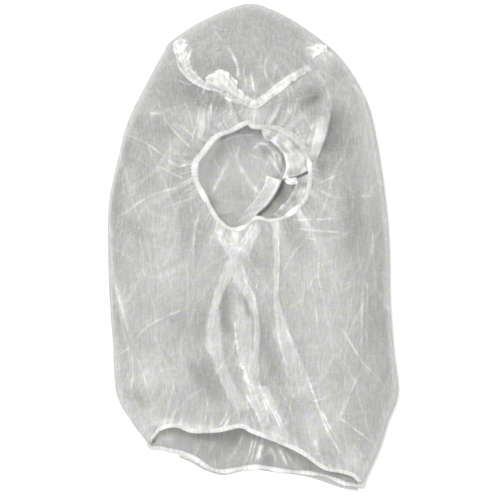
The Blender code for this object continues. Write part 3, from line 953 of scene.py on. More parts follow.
# %% Height and paleness of the upper layer
CROWN = 150  # mm, from here up the cloth is single and less pale
EDGE_PALE = 1 / 30  # share of the rows where the fold at the side shows paler
loose = faded(row_share, 0.04, 0.05)
fold_height, fold_pale, upper_crests = charted(upper_plan, UPPER_FOLDS)
strand_height, upper_strips = stranded(upper_plan, STRANDS)
crease_height, crease_pale = creases(upper_plan, size=24 * MM, seed=100, slope=0.035)
height += loose * (fold_height + strand_height + gather_height + crease_height)
height += loose * 0.8 * MM * cloud(upper_plan, size=30 * MM, seed=11)
single_crown = smooth_step((upper_plan[..., 1] / MM - CROWN) / 50)
# Painted shade comes in with fold_pale: the charts' dark rows round the forehead seam and beside the tuck
# at the face.
fibre_and_painted_light = fold_pale + gather_pale + 0.10 * crease_pale - 0.09 * single_crown
fibre_and_painted_light = fibre_and_painted_light + 0.16 * bell(1 - row_share, EDGE_PALE)
print("upper layer's height from", height.min(), "to", height.max())

# %% [markdown]
# ## Round the side fold
# At the sides and the crown the sheet turns round a soft fold, and at the neck its edge ends inside the
# hem. The upper layer's mesh takes the upper quarter turn of the fold and the lower layer's mesh the
# other one, so the two meet on the outline.

# %% Side fold
TUCK_STEP = 0.05 * MM  # how far each row at the neck lies inside the one before


def fold_turn(angles, upwards):
    """Points round the side fold at angles from the top. The neck's columns stay in their hem."""
    edge, step = (upper_edge, -TUCK_STEP) if upwards else (lower_edge, TUCK_STEP)
    rows = []
    for angle in angles:
        out = fold_line + outline_out * SIDE_FOLD / 2 * math.sin(angle)
        reach = edge[:SIDE_COLUMNS, 2] - SIDE_FOLD / 2
        side = np.column_stack([out, SIDE_FOLD / 2 + reach * abs(math.cos(angle))])
        tucked = edge[SIDE_COLUMNS:] + np.array([0.0, 0.0, step]) * angle
        rows.append(np.vstack([side, tucked]))
    return np.array(rows)


upper_turn = fold_turn(np.linspace(0, math.pi / 2, FOLD_ROWS)[1:], True)
lower_turn = fold_turn(np.linspace(math.pi / 2, math.pi, FOLD_ROWS)[:-1], False)
print("rows round the fold:", len(upper_turn), "and", len(lower_turn))


# %% The mesh of a surface
def grid_faces(rows, columns, closed, ring):
    """Quads of neighbouring rows and columns.

    Closed joins the last column to the first, and ring does so with the rows."""
    here = np.arange(rows - (not ring))[:, None] * columns + np.arange(columns - (not closed))
    after = here - here % columns + (here + 1) % columns
    quads = np.stack([here, after, after + columns, here + columns], axis=-1).reshape(-1, 4)
    return quads % (rows * columns)


def add_surface(name, points, closed=True, ring=False, values=None, caps="", cloth=None, charts=()):
    """An object from a grid of points. Values is its paleness and charts its folds.

    Caps says which ends of the rows are closed by a fan round their middle: first, last or both."""
    rows, columns = points.shape[:2]
    vertices = points.reshape(-1, 3)
    faces = [tuple(face) for face in grid_faces(rows, columns, closed, ring).tolist()]
    values = np.zeros((rows, columns)) if values is None else np.broadcast_to(values, (rows, columns))
    values = values.reshape(-1)
    for end, start, turn in (("first", 0, -1), ("last", (rows - 1) * columns, 1)):
        if caps in (end, "both"):
            middle = len(vertices)
            vertices = np.vstack([vertices, vertices[start:start + columns].mean(axis=0)])
            values = np.append(values, values[start])
            faces += [(middle, *(start + i, start + (i + 1) % columns)[::turn]) for i in range(columns)]
    mesh = bpy.data.meshes.new(name)
    mesh.from_pydata(vertices.tolist(), [], faces)
    fibre_and_painted_light_layer = mesh.attributes.new("fibre_and_painted_light", "FLOAT", "POINT")
    fibre_and_painted_light_layer.data.foreach_set("value", values.astype(np.float32))
    for kind, channels in charts:
        for channel, stored in enumerate(channels):
            layer = mesh.attributes.new(f"{kind}_{channel}", "FLOAT_VECTOR", "POINT")
            stored = stored.astype(np.float32).reshape(-1, 3)
            middles = np.repeat(stored[-1:], len(vertices) - len(stored), axis=0)
            layer.data.foreach_set("vector", np.vstack([stored, middles]).reshape(-1))
    mesh.shade_smooth()
    made = bpy.data.objects.new(name, mesh)
    bpy.context.scene.collection.objects.link(made)
    if cloth:
        wall = made.modifiers.new("cloth", "SOLIDIFY")
        wall.thickness = cloth
        wall.offset = -1.0
    print(name, len(vertices), "points", len(faces), "faces")
    return made


# %% Upper layer with its fold
FOLD_PALE = 0.18  # of the doubled cloth in the side fold
added_rows = ((0, 0), (0, FOLD_ROWS - 1), (0, 0), (0, 0))
upper_cloth = add_surface(
    "upper_cloth",
    np.concatenate([np.dstack([upper_plan, height]), upper_turn]),
    values=np.vstack([fibre_and_painted_light, np.full((FOLD_ROWS - 1, COLUMNS), FOLD_PALE)]),
    cloth=CLOTH,
    charts=(("crest", np.pad(upper_crests, added_rows)), ("strand", np.pad(upper_strips, added_rows))),
)

# %% [markdown]
# ## The lower layer
# The back of the hood lies flat on the surface, so only crumples lift it. It shows through the face
# opening, in the mouth of the neck and, faintly, through the sheer cloth above it.

# %% Folds of the lower layer
# Seen through the face opening. The dark row just inside the upper left of the face hem is a painted
# shadow of the hem, and the dark row right of the rolled fold a painted shadow of the fold. The wide pale
# rows inside the left and upper left of the hem are painted light that lifts the hem's shade.
FLOOR_FOLDS = table(FOLD, """
-17 88 -4 67 12 48 1.8 3 0 3.2 0.65
-22 88 -34 65 -42 48 1.6 2.6 0 2.6 0.6
-40 90 -35 82 -31 75 1.2 2.4 0 1.6 0.5
-29 107 -23 96 -17 85 1.2 2.4 0 1.6 0.35
-12 105 -14 96 -16 87 1.2 2.4 0 1.6 0.35
-6 93 6 88 18 82 1.4 2.6 0 1.8 0.35
0 95 7 102 18 101 1.4 2.2 0 2 0.95
13 102 21 93 24 81 1.6 2.2 0 1.8 0.95
16 92 23 81 30 69 1.6 2.2 0 2.2 1.1
18 100 26 90 30 74 1.4 2.2 0 1.6 0.7
26 96 28 86 29 76 1.6 2.2 0 1.6 0.6
6 97 12 95 18 91 -0.4 3 0 3.8 -0.5
-32 104 -14 110 6 111 1.2 2 0 1.6 0.7
-36 103 -21 113 -6 119 -0.4 2 0 3 -0.65
-46 100 -54 74 -44 44 0 7 0 8 1.05
-50 92 -40 104 -24 114 0 6 0 7 0.6
-34 100 -18 108 6 111 0 5 0 5 0.5
-56 76 -44 92 -32 106 0 8 0 8 0.7
-16 100 -6 97 4 92 0 7 0 7 -0.22
-46 48 -36 32 -20 18 0 6 0 7 0.38
-30 66 -14 54 2 44 0 10 0 10 -0.24
26 66 30 58 24 44 -0.4 4 0 6 -0.75
""")
# Seen in the mouth of the neck. The wide pale rows just below the upper neck hem are painted light that
# lifts the hem's shade there.
MOUTH_FOLDS = table(FOLD, """
-7 -178 -15 -200 -28 -214 1.6 2.4 0 2.6 0.55
2 -182 -3 -204 -9 -216 1.6 2 0 1.9 0.8
5 -185 0 -206 -3 -216 1.6 2 0 1.6 0.8
11 -188 7 -203 3 -213 3 2.4 0 3 1.9
25 -195 28 -204 36 -218 1.4 2.2 0 1.6 0.6
-99 -180 -95 -188 -90 -196 0.5 5 0 6 0.25
14 -195 22 -204 22 -216 1.6 2.2 0 2 0.7
26 -195 31 -207 36 -218 1.4 2.2 0 1.8 0.7
31 -198 38 -210 49 -221 1.4 2.2 0 1.8 0.5
-50 -190 -54 -200 -60 -208 1.2 2.2 0 1.6 0.35
-34 -186 -40 -198 -46 -208 1.2 2.2 0 1.6 0.35
9 -207 16 -210 23 -209 -0.4 3 0 4 -0.55
32 -198 46 -205 62 -215 -0.4 4 0 6 -0.3
-100 -190 -86 -184 -72 -188 0 6 0 8 0.5
-40 -196 -22 -194 -6 -190 0 8 0 8 -0.3
0 -178 42 -198 84 -226 0 6 0 7 0.46
-54 -194 -42 -203 -28 -208 0 7 0 7 -0.24
46 -212 58 -217 70 -223 0 4 0 4 -0.35
""")
LOWER_FOLDS = stacked(FLOOR_FOLDS, MOUTH_FOLDS)
print("folds of the lower layer:", len(LOWER_FOLDS["rise"]))

# %% Height and mesh of the lower layer
MOUTH = -165  # mm, where the shade in the mouth of the neck begins
roll_centre = place(*ROLL_CENTRE)
lower_share = np.linspace(0.0, 0.995, LOWER_ROWS)[:, None]
lower_plan = lower_edge[:, :2] + (roll_centre - lower_edge[:, :2]) * lower_share[..., None]
lower_folds, lower_pale, lower_crests = charted(lower_plan, LOWER_FOLDS)
lower_creases, lower_crease_pale = creases(lower_plan, size=20 * MM, seed=500, slope=0.07)
rumple = lower_creases + lower_folds + 0.5 * MM * cloud(lower_plan, size=20 * MM, seed=13)
settled = smooth_step(lower_share / 0.05)
lower_height = np.maximum(rumple + 0.4 * MM, 0.0) * settled + lower_edge[:, 2] * (1 - settled)
lower_height = lower_height + CLOTH * settled
# Painted shade: the lower layer is darker inside the mouth of the neck, beyond MOUTH. lower_pale also
# carries the painted shadows and painted light of the lower layer's charts.
mouth_shade = smooth_step((MOUTH - lower_plan[..., 1] / MM) / 15)
lower_fibre_and_painted_light = lower_pale + 0.12 * lower_crease_pale - 0.30 * mouth_shade
lower_cloth = add_surface(
    "lower_cloth",
    np.concatenate([lower_turn, np.dstack([lower_plan, lower_height])]),
    values=np.vstack([np.full((FOLD_ROWS - 1, COLUMNS), FOLD_PALE), lower_fibre_and_painted_light]),
    caps="last",
    cloth=CLOTH,
    charts=(("crest", np.pad(lower_crests, ((0, 0), (FOLD_ROWS - 1, 0), (0, 0), (0, 0)))),),
)


# %% [markdown]
# ## Gathered hems
# A hem is cloth folded over elastic thread and sewn, so it becomes a thick white bead with close
# furrows across it. A plain tube would look like wire. Here a flattened round profile is carried along
# the hem's line. Its size changes quickly along the line and slowly round it, so the furrows slant.

# %% A bead along a line
def directions(line, closed):
    """Sideways and upward directions at each point of a line, square to the line."""
    if closed:
        ahead = unit(np.roll(line, -1, axis=0) - np.roll(line, 1, axis=0))
    else:
        ahead = unit(np.gradient(line, axis=0))
    sideways = unit(np.cross(ahead, [0.0, 0.0, 1.0]))
    return sideways, np.cross(sideways, ahead)


def bead(
    name, line, wide, tall, furrows, seed, depth, pale, size=1.0, rims=0.0, closed=True, around=18
):
    """A gathered bead: an oval, wide by tall, scaled by 1 + depth * ripples(along + slant * round).

    Its paleness is pale + 1.2 * depth * ripples + rims * |cos(round)| ^ 4. The ripples' part is painted
    shade in the furrows and painted light on the swellings between them."""
    sideways, up = directions(line, closed)
    angle = np.arange(around) / around * 2 * math.pi
    along = (np.arange(len(line)) / len(line))[:, None]
    slant = along + 0.6 / furrows * np.sin(angle) + 0.3 / furrows * np.cos(2 * angle)
    wave = ripples(slant, int(furrows * 0.7), int(furrows * 1.3), seed)
    swell = ripples(along, 6, 20, seed=seed + 1)
    depth, rims = np.reshape(depth, (-1, 1)), np.reshape(rims, (-1, 1))
    scale = (1 + depth * np.clip(wave, -1.8, 1.8) + 0.07 * swell) * np.reshape(size, (-1, 1))
    points = (
        line[:, None, :]
        + sideways[:, None, :] * (np.cos(angle) * scale * wide / 2)[..., None]
        + up[:, None, :] * (np.sin(angle) * scale * tall / 2)[..., None]
    )
    # Painted shade in the furrows and painted light on the swellings: 1.2 * depth * wave.
    values = np.reshape(pale, (-1, 1)) + rims * np.cos(angle) ** 4 + 1.2 * depth * wave + 0.08 * swell
    caps = "" if closed else "both"
    return add_surface(name, points[::-1], ring=closed, values=values[::-1], caps=caps)


def look_along(rows, count):
    """The columns of a table as values at count equal steps along a closed line."""
    share = np.arange(count) / count
    return {name: np.interp(share, rows["along"], rows[name]) for name in rows if name != "along"}


# %% Face hem
FACE_HEM_POINTS = 1400
FACE_HEM_LOOK = table("along size pale depth rims", """
0 1.05 0.44 0.02 0
0.03 0.9 0.36 0.02 0.1
0.07 0.9 0.22 0.02 0.4
0.14 0.95 0.2 0.02 0.5
0.2 0.95 0.28 0.02 0.4
0.26 1 0.5 0.02 0.1
0.34 1.05 0.46 0.02 0
0.41 1.12 0.54 0.02 0
0.46 0.9 0.46 0.02 0
0.52 0.85 0.46 0.02 0
0.6 0.95 0.52 0.02 0
0.68 1.1 0.54 0.02 0
0.74 1.2 0.56 0.03 0
0.78 1.5 0.56 0.05 0
0.82 1.4 0.54 0.04 0
0.87 1.25 0.5 0.02 0
0.94 1.05 0.46 0.02 0
1 1.05 0.44 0.02 0
""")
face_line = spaced(face_ring, FACE_HEM_POINTS, closed=True)
face_hem = bead(
    "gathered_face_hem", face_line, wide=FACE_BEAD * 1.08, tall=FACE_BEAD * 0.80, furrows=130, seed=21,
    **look_along(FACE_HEM_LOOK, FACE_HEM_POINTS),
)

# %% Neck hem
NECK_HEM_POINTS = 1500
CORNER_OUT = 1 * MM  # how far the hem goes round outside each corner
corners = [np.append(end + [0.0, -CORNER_OUT], SIDE_FOLD / 2) for end in outline[[0, -1]]]
every_third = slice(SIDE_COLUMNS + 3, -3, 3)
neck_line = np.vstack([upper_edge[every_third], corners[0], lower_edge[every_third][::-1], corners[1]])
neck_line = spaced(through(neck_line, closed=True, steps=14), NECK_HEM_POINTS, closed=True)
NECK_HEM_LOOK = table("along size pale", """
0 0.95 0.48
0.1 1 0.54
0.3 1.05 0.52
0.38 0.95 0.46
0.45 0.8 0.44
0.5 0.9 0.44
0.6 1 0.58
0.75 1.05 0.62
0.85 0.9 0.56
1 0.95 0.48
""")
neck_hem = bead(
    "gathered_neck_hem", neck_line, wide=NECK_BEAD * 1.08, tall=NECK_BEAD * 0.85, furrows=90, seed=23,
    depth=0.02, around=16, **look_along(NECK_HEM_LOOK, NECK_HEM_POINTS),
)

# %% Lip below the lower neck hem
LIP = table("x y wide", """
-72 -207 0.5
-60 -212 0.8
-46 -219 1.4
-30 -223 2
-16 -221 1.4
-2 -218 1
20 -221 0.8
42 -223 1.4
60 -226 2.2
76 -231 2.6
90 -236 2.2
104 -239 1.5
""")
LIP_TUCKED = 1.5 * MM  # how far the lip begins inside the hem's line
lip = guide(LIP, 360)
lip_out = np.linspace(0, 1, 8)[None, :]
lip_y = lip[:, 1:2] + LIP_TUCKED - (lip[:, 2:3] + LIP_TUCKED) * lip_out
lip_points = grid(lip[:, :1], lip_y, 0.5 * MM + 0.9 * MM * (1 - lip_out))
lip_pale = 0.05 + 0.3 * bell(1 - lip_out, 0.2)
lower_lip = add_surface("lower_neck_lip", lip_points, closed=False, values=lip_pale, cloth=CLOTH)

# %% [markdown]
# ## The forehead seam
# The seam gathers the crown onto the face part. Its allowance is already in the cloth, as three
# strands. What is left is the stitched ridge along its lower edge, a pleated arch of spare cloth, and
# the tufts at both ends.

# %% Where the upper layer lies at a point
SEAM_WITHIN = 95 * MM  # the seam lies no further than this to either side
SEAM_FROM = 120 * MM  # and beyond this towards the crown
cloth_points = np.dstack([upper_plan, height]).reshape(-1, 3)
cloth_points = cloth_points[(np.abs(cloth_points[:, 0]) < SEAM_WITHIN) & (cloth_points[:, 1] > SEAM_FROM)]
print("points of the cloth round the seam:", len(cloth_points))


def on_cloth(plan, above):
    """Points of plan set above the upper layer.

    The height is the mean of the cloth's points, each with the weight exp(-(its distance / 1.4 mm) ^
    2)."""
    apart = plan[:, None, :] - cloth_points[None, :, :2]
    weights = np.exp(-np.sum(apart**2, axis=-1) / (1.4 * MM) ** 2)
    heights = weights @ cloth_points[:, 2] / weights.sum(axis=1)
    smooth = np.convolve(np.pad(heights, 4, mode="edge"), np.ones(9) / 9, mode="valid")
    return np.column_stack([plan, smooth + above])


# %% Stitched ridge
SEAM_RIDGE = table("x y wide tall pale", """
-74 194 2 1 0.3
-73 183 2.6 1.2 0.35
-69 173 2.8 1.4 0.45
-59 163 3 1.6 0.55
-46 156 3 1.8 0.5
-34 153 3 1.8 0.4
-24 148 3 1.8 0.35
-11 142 2.8 1.8 0.42
4 137 2.6 1.8 0.55
17 146 3 1.8 0.55
28 154 3.2 2 0.6
38 162 3 1.8 0.5
50 170 2.4 1.4 0.3
62 176 1.6 1 0.1
""")
ridge = spaced(through(np.column_stack(list(SEAM_RIDGE.values())) * [MM, MM, 1, 1, 1]), 900)
ridge_line = on_cloth(ridge[:, :2], 0.4 * MM)
seam_ridge = bead(
    "stitched_seam_ridge", ridge_line, wide=ridge[:, 2:3] * MM, tall=ridge[:, 3:4] * MM,
    furrows=70, seed=31, depth=0.04, pale=ridge[:, 4] - 0.1, closed=False, around=14,
)

# %% Pleated arch
ARCH = table("x y x_out y_out rise", """
-47 159 -47 162 0.5
-43 158 -44 167 1.5
-37 156 -38 171 3
-31 154 -31 173 4
-26 152 -24 171 3.5
-21 150 -18 165 2.5
-16 147 -14 157 1.5
-10 144 -9 150 1
-4 141 -3 144 0.5
""")
ARCH_ROWS, ARCH_COLUMNS = 260, 20
arch = guide(ARCH, ARCH_ROWS)
arch_out = np.linspace(0, 1, ARCH_COLUMNS)[None, :]
arch_share = np.linspace(0, 1, ARCH_ROWS)[:, None]
pleat = ripples(arch_share + 0.04 * arch_out, 4, 14, seed=34) * arch_out**0.6
lump = ripples(arch_share * 0.7 + 0.5 * arch_out, 2, 6, seed=35)
arch_x = between(arch[:, :1], arch[:, 2:3], arch_out) + 1.0 * MM * pleat
arch_y = between(arch[:, 1:2], arch[:, 3:4], arch_out) + 0.5 * MM * lump * arch_out
arch_plan = np.dstack([arch_x, arch_y])
arch_ground = np.column_stack([on_cloth(column, 0.5 * MM)[:, 2] for column in arch_plan.swapaxes(0, 1)])
arch_rise = 0.7 * arch[:, 4:5] * np.sin(math.pi * arch_out**0.8)
arch_z = arch_ground + arch_rise + 0.3 * MM * (pleat + lump) * arch_out
arch_pale = 0.46 + 0.07 * pleat + 0.09 * lump
arch_pale = arch_pale + 0.16 * np.sin(math.pi * arch_share) ** 0.7 * bell(1 - arch_out, 0.18)
arch_points = grid(arch_x, arch_y, arch_z)
seam_arch = add_surface("pleated_seam_arch", arch_points, closed=False, values=arch_pale, cloth=CLOTH)


# %% Tufts at the ends of the seam
def tuft(name, centre, size, turn, seed, crumple=1.0, pale=0.45, rows=72, columns=110):
    """A crumpled lump: a ball stretched to size, dented by ripples that run over it in both directions.

    Its crests are paler than its dents, and its top is as pale as they are: pale + 1.3 * (radius -
    1) + 0.3 * (1 - sin(way down)). This is painted shade in the dents and a painted highlight on the
       crests
    and the top."""
    down = np.linspace(0.02, math.pi - 0.02, rows)[:, None]
    around = np.arange(columns)[None, :] / columns
    dent = 0.12 * ripples(around + 0.1 * np.sin(2 * down), 2, 5, seed=seed)
    dent = dent + 0.05 * ripples(down / math.pi + 0 * around, 2, 5, seed=seed + 1)
    dent = dent + 0.02 * ripples(around + 0.2 * np.cos(3 * down), 7, 15, seed=seed + 2)
    dent = 1 + crumple * dent * np.sin(down)
    angle = -around * 2 * math.pi
    long, wide, tall = (length / 2 * MM for length in size)
    x, y = dent * np.sin(down) * np.cos(angle) * long, dent * np.sin(down) * np.sin(angle) * wide
    c, s = math.cos(turn), math.sin(turn)
    points = grid(x * c - y * s, x * s + y * c, dent * np.cos(down) * tall) + centre
    # Painted shade in the dents, painted highlight on the crests and the top.
    values = pale + 1.3 * (dent - 1) + 0.3 * (1 - np.sin(down))
    return add_surface(name, points, values=values, caps="both")


left_end = on_cloth(np.array([[-70, 195]]) * MM, 0.8 * MM)[0]
right_end = on_cloth(np.array([[67, 194]]) * MM, 0.4 * MM)[0]
tufts = [
    tuft("left_seam_tuft", left_end, size=(18, 12, 2.6), turn=-1.1, seed=41, crumple=1.1, pale=0.40),
    tuft("right_seam_tuft", right_end, size=(12, 8, 1.8), turn=0.5, seed=45, crumple=1.4, pale=0.46),
]

# %% [markdown]
# ## Inside the face opening
# Three things show there: a rolled fold of the back layer, a tuck of the face hem that has turned
# inwards at the upper right, and a small knot of cloth where the two meet.

# %% Rolled fold
ROLL = table("x_flat y_flat x_curl y_curl rise", """
14 71 30 67 9
12 62 26 58 9
7 54 21 49 9
1 45 14 40 8
-7 36 6 33 7
-14 26 2 26 7
-20 12 -6 13 7
-26 -12 -18 -10 6
-34 -40 -28 -39 4
-38 -58 -33 -57 2
""")
FLAT = 0.62  # share of the fold that climbs, before the rest rolls back over it
roll = guide(ROLL, 300)
roll_share = np.linspace(0, 1, 300)[:, None]
roll_over = np.linspace(0, 1, 44)[None, :]
roll_arc = np.clip((roll_over - FLAT) / (1 - FLAT), 0, 1) * math.pi
roll_across = np.where(roll_arc > 0, 0.86 + 0.14 * np.sin(roll_arc), 0.86 * roll_over / FLAT)
roll_up = np.where(roll_arc > 0, 0.70 + 0.30 * np.cos(roll_arc), smooth_step(roll_over / FLAT))
roll_crumple = ripples(roll_over + 0.12 * roll_share, 2, 7, seed=51) * 0.2 * MM
roll_top = smooth_step(roll_share / 0.012)
roll_points = grid(
    between(roll[:, :1], roll[:, 2:3], roll_across),
    between(roll[:, 1:2], roll[:, 3:4], roll_across),
    1.4 * MM + (roll[:, 4:5] * roll_up + roll_crumple * roll_up) * (0.35 + 0.65 * roll_top),
)
roll_near = 1 - smooth_step((roll_share - 0.15) / 0.3)
roll_pale = 0.24 + 0.14 * roll_up + 0.20 * bell(roll_over - FLAT, 0.08)
roll_pale = roll_pale + 0.22 * roll_near * bell(roll_over, 0.10) + 0.60 * np.exp(-roll_share / 0.04)
roll_pale = roll_pale + 0.02 * ripples(roll_over + 0.15 * roll_share, 3, 9, seed=52)
roll_pale = roll_pale + 0.04 * ripples(2 * roll_share + 0.3 * roll_over, 3, 9, seed=53)
rolled_fold = add_surface("rolled_fold", roll_points, closed=False, values=roll_pale, cloth=CLOTH)

# %% Lines of the two tucks of the face hem
UPPER_TUCK = table("x_out y_out x_in y_in drop", """
6 119 8 116 3
17 119 12 107 6
30 115 20 102 8
43 106 27 96 9
52 94 31.5 88 10
57 82 33 80 11
55 76 31.5 73 12
47 71 29 67 13
""")
LOWER_TUCK = table("x_out y_out x_in y_in drop", """
57 73 46 68 8
57 65 42 61 9
56 58 39 53 9
51 46 33 45 9
40 36 26 38 7
27 29 20 32 4
""")
print("points along the tucks:", len(UPPER_TUCK["drop"]), "and", len(LOWER_TUCK["drop"]))


# %% Tucks of the face hem
def inner_tuck(name, rows, seed, lifts, plain, edge, count=260):
    """Cloth turned in from the face hem: lines from the hem to the tuck's edge that bulge as a sine.

    Soft folds run along the hem: ripples of the share inward, which drift a little along it. The
    edge is doubled, so it is paler by edge * exp(-((1 - inward) / 0.13) ^ 2)."""
    line = guide(rows, count)
    share = np.linspace(0, 1, count)[:, None]
    inward = np.linspace(0, 1, 30)[None, :]
    wave = ripples(0.8 * inward + 0.25 * share + 0.03 * np.sin(9 * share), 2, 5, seed=seed)
    drift = ripples(share + 0.1 * inward, 2, 7, seed=seed + 1)
    x = between(line[:, :1], line[:, 2:3], inward)
    y = between(line[:, 1:2], line[:, 3:4], inward) + 0.4 * MM * drift * inward
    lift = np.interp(share, np.linspace(0, 1, len(lifts)), lifts) * LOFT
    bulge = 2.5 * MM * np.sin(math.pi * inward)
    z = lift - line[:, 4:5] * inward + bulge + 0.25 * MM * wave * np.sqrt(inward)
    pale = plain + 0.05 * wave + 0.10 * drift + edge * bell(1 - inward, 0.13)
    pale = pale + 0.12 * cloud(np.stack([x, y], axis=-1), 6 * MM, seed + 2)
    return add_surface(name, grid(x, y, z), closed=False, values=pale, cloth=CLOTH)


UPPER_LIFTS, LOWER_LIFTS = (0.65, 0.72, 0.70), (0.70, 0.66, 0.58)  # of the hem, as shares of the loft
upper_tuck = inner_tuck("upper_hem_tuck", UPPER_TUCK, 55, UPPER_LIFTS, plain=0.20, edge=0.80)
lower_tuck = inner_tuck("lower_hem_tuck", LOWER_TUCK, 57, LOWER_LIFTS, plain=0.00, edge=0.25)

# %% Knot
KNOT_PLACE = np.array([38.5, 65.5, 23]) * MM
knot = tuft("cloth_knot", KNOT_PLACE, size=(12, 8, 6), turn=-0.30, seed=61, pale=0.55)

# %% [markdown]
# ## Non-woven cloth
# The cloth is a web of fine fibres, pressed together at small points. It is sheer where it lies single,
# and white where folds, gathers or creases bring more fibre together. So one number for each point,
# `fibre_and_painted_light`, drives the colour, the cover and part of the relief. Fibres run mostly along the hood, the
# web is cloudy at about a centimetre, and the bond points are a fine grid of dents.
# The same number carries painted light and shade too: charted pale rows lift cloth that lies in shade, and
# dark rows darken it as painted shade.

# %% Helpers for shader nodes
def add_node(tree, kind, links=(), **settings):
    """A shader node with its settings made, and its inputs set to values or linked to sockets."""
    made = tree.nodes.new("ShaderNode" + kind)
    for name, value in settings.items():
        setattr(made, name, value)
    for socket, value in dict(links).items():
        if isinstance(value, bpy.types.NodeSocket):
            tree.links.new(value, made.inputs[socket])
        else:
            made.inputs[socket].default_value = value
    return made


def maths(tree, operation, *values, clamp=False):
    """One sum on numbers or sockets. MULTIPLY_ADD is the first times the second, plus the third."""
    return add_node(tree, "Math", enumerate(values), operation=operation, use_clamp=clamp).outputs[0]


def mapped(tree, value, low, high):
    """The value from 0 to 1 moved to low to high."""
    return maths(tree, "MULTIPLY_ADD", value, high - low, low)


def ramp(tree, value, start, end, low=0.0, high=1.0, **settings):
    """From low, where the value is start, to high, where it is end, and level beyond both."""
    ends = {"Value": value, "From Min": start, "From Max": end, "To Min": low, "To Max": high}
    return add_node(tree, "MapRange", ends, clamp=True, **settings).outputs[0]


def mixed(tree, share, first, second, **settings):
    """A colour between the first one, at share 0, and the second one, at share 1."""
    colours = {0: share, 6: first, 7: second}
    return add_node(tree, "Mix", colours, data_type="RGBA", **settings).outputs[2]


def stored_parts(tree, name):
    """The three parts of one of the mesh's own vectors."""
    stored = add_node(tree, "Attribute", attribute_name=name).outputs["Vector"]
    return add_node(tree, "SeparateXYZ", {"Vector": stored}).outputs


# %% Crests and strands in the finish
def crest_lines(tree):
    """The charted crests: for each channel paleness * exp(-2 (scaled distance) ^ 2), added up."""
    total = 0.0
    for channel in range(CHANNELS):
        parts = stored_parts(tree, f"crest_{channel}")
        squared = maths(tree, "MULTIPLY", parts["X"], parts["X"])
        line = maths(tree, "EXPONENT", maths(tree, "MULTIPLY", squared, -2.0))
        total = maths(tree, "MULTIPLY_ADD", line, parts["Y"], total)
    return total


def strand_strips(tree, patches, broken):
    """The strands: paleness * (0.66 inside + 0.30 at broken edges + pleats along the strand), added up.

    The edges are exp(-((|across| - 0.84) / 0.1) ^ 2), and the pleats the sine of a bent count
    across. Patches bend the place across, so that no strand has straight sides."""
    total = 0.0
    for channel in range(STRAND_CHANNELS):
        parts = stored_parts(tree, f"strand_{channel}")
        across = maths(tree, "ADD", parts["X"], mapped(tree, patches, -0.45, 0.45))
        out = maths(tree, "ABSOLUTE", across)
        inside = ramp(tree, out, 1.25, 0.50, interpolation_type="SMOOTHSTEP")
        off_edge = maths(tree, "MULTIPLY_ADD", out, 10.0, -8.4)
        squared = maths(tree, "MULTIPLY", off_edge, off_edge)
        edge = maths(tree, "EXPONENT", maths(tree, "MULTIPLY", squared, -1.0))
        bend = maths(tree, "MULTIPLY_ADD", parts["X"], 3.3, maths(tree, "MULTIPLY", parts["Z"], 0.8))
        count = maths(tree, "MULTIPLY_ADD", parts["X"], 7.0, parts["Z"])
        pleats = maths(tree, "SINE", maths(tree, "MULTIPLY_ADD", maths(tree, "SINE", bend), 1.8, count))
        shape = maths(tree, "MULTIPLY", inside, maths(tree, "MULTIPLY_ADD", pleats, 0.16, 0.66))
        shape = maths(tree, "MULTIPLY_ADD", maths(tree, "MULTIPLY", edge, broken), 0.30, shape)
        total = maths(tree, "MULTIPLY_ADD", shape, parts["Y"], total)
    return total


print("crests come in", CHANNELS, "channels and strands in", STRAND_CHANNELS)


# %% Fibres and pressed creases in the finish
PRESSED = (  # squeeze, turn, strength and width of the coarse and the fine pressed creases
    ((22.0, 8.0, 1.0), 0.2, 0.19, 0.030),
    ((64.0, 22.0, 1.0), -0.4, 0.10, 0.060),
)


def noise(tree, vector, scale, detail=2.0, roughness=0.5, output=0):
    """A noise texture's value, or its colour."""
    inputs = {"Vector": vector, "Scale": scale, "Detail": detail, "Roughness": roughness}
    return add_node(tree, "TexNoise", inputs).outputs[output]


def stretched(tree, vector, scale, turn):
    """Coordinates turned and squeezed, so that a texture on them is long in one direction."""
    inputs = {"Vector": vector, "Scale": scale, "Rotation": (0.0, 0.0, turn)}
    return add_node(tree, "Mapping", inputs).outputs[0]


def pressed_lines(tree, place_on, lines):
    """Pressed creases on top of the lines: edges of squeezed Voronoi cells, bent by a noise."""
    towards_crown = add_node(tree, "SeparateXYZ", {"Vector": place_on}).outputs["Y"]
    calm = ramp(tree, towards_crown, 0.14, 0.20, 1.0, 0.35)
    bent = noise(tree, place_on, 14.0, 1.0, output="Color")
    sway = {0: bent, 1: (0.030, 0.030, 0.0), 2: place_on}
    warped = add_node(tree, "VectorMath", sway, operation="MULTIPLY_ADD").outputs[0]
    for scale, turn, strength, width in PRESSED:
        cells = {"Vector": stretched(tree, warped, scale, turn), "Scale": 1.0}
        kind = {"feature": "DISTANCE_TO_EDGE", "voronoi_dimensions": "2D"}
        line = ramp(tree, add_node(tree, "TexVoronoi", cells, **kind).outputs["Distance"], width, 0.0)
        lines = maths(tree, "MULTIPLY_ADD", maths(tree, "MULTIPLY", line, calm), strength, lines)
    return lines


print("pressed creases of", len(PRESSED), "sizes")


# %% Material of the cloth
FIBRE, STRAY, GRAIN, PATCHES, BONDS = 620.0, 520.0, 480.0, 110.0, 560.0  # how many to a metre


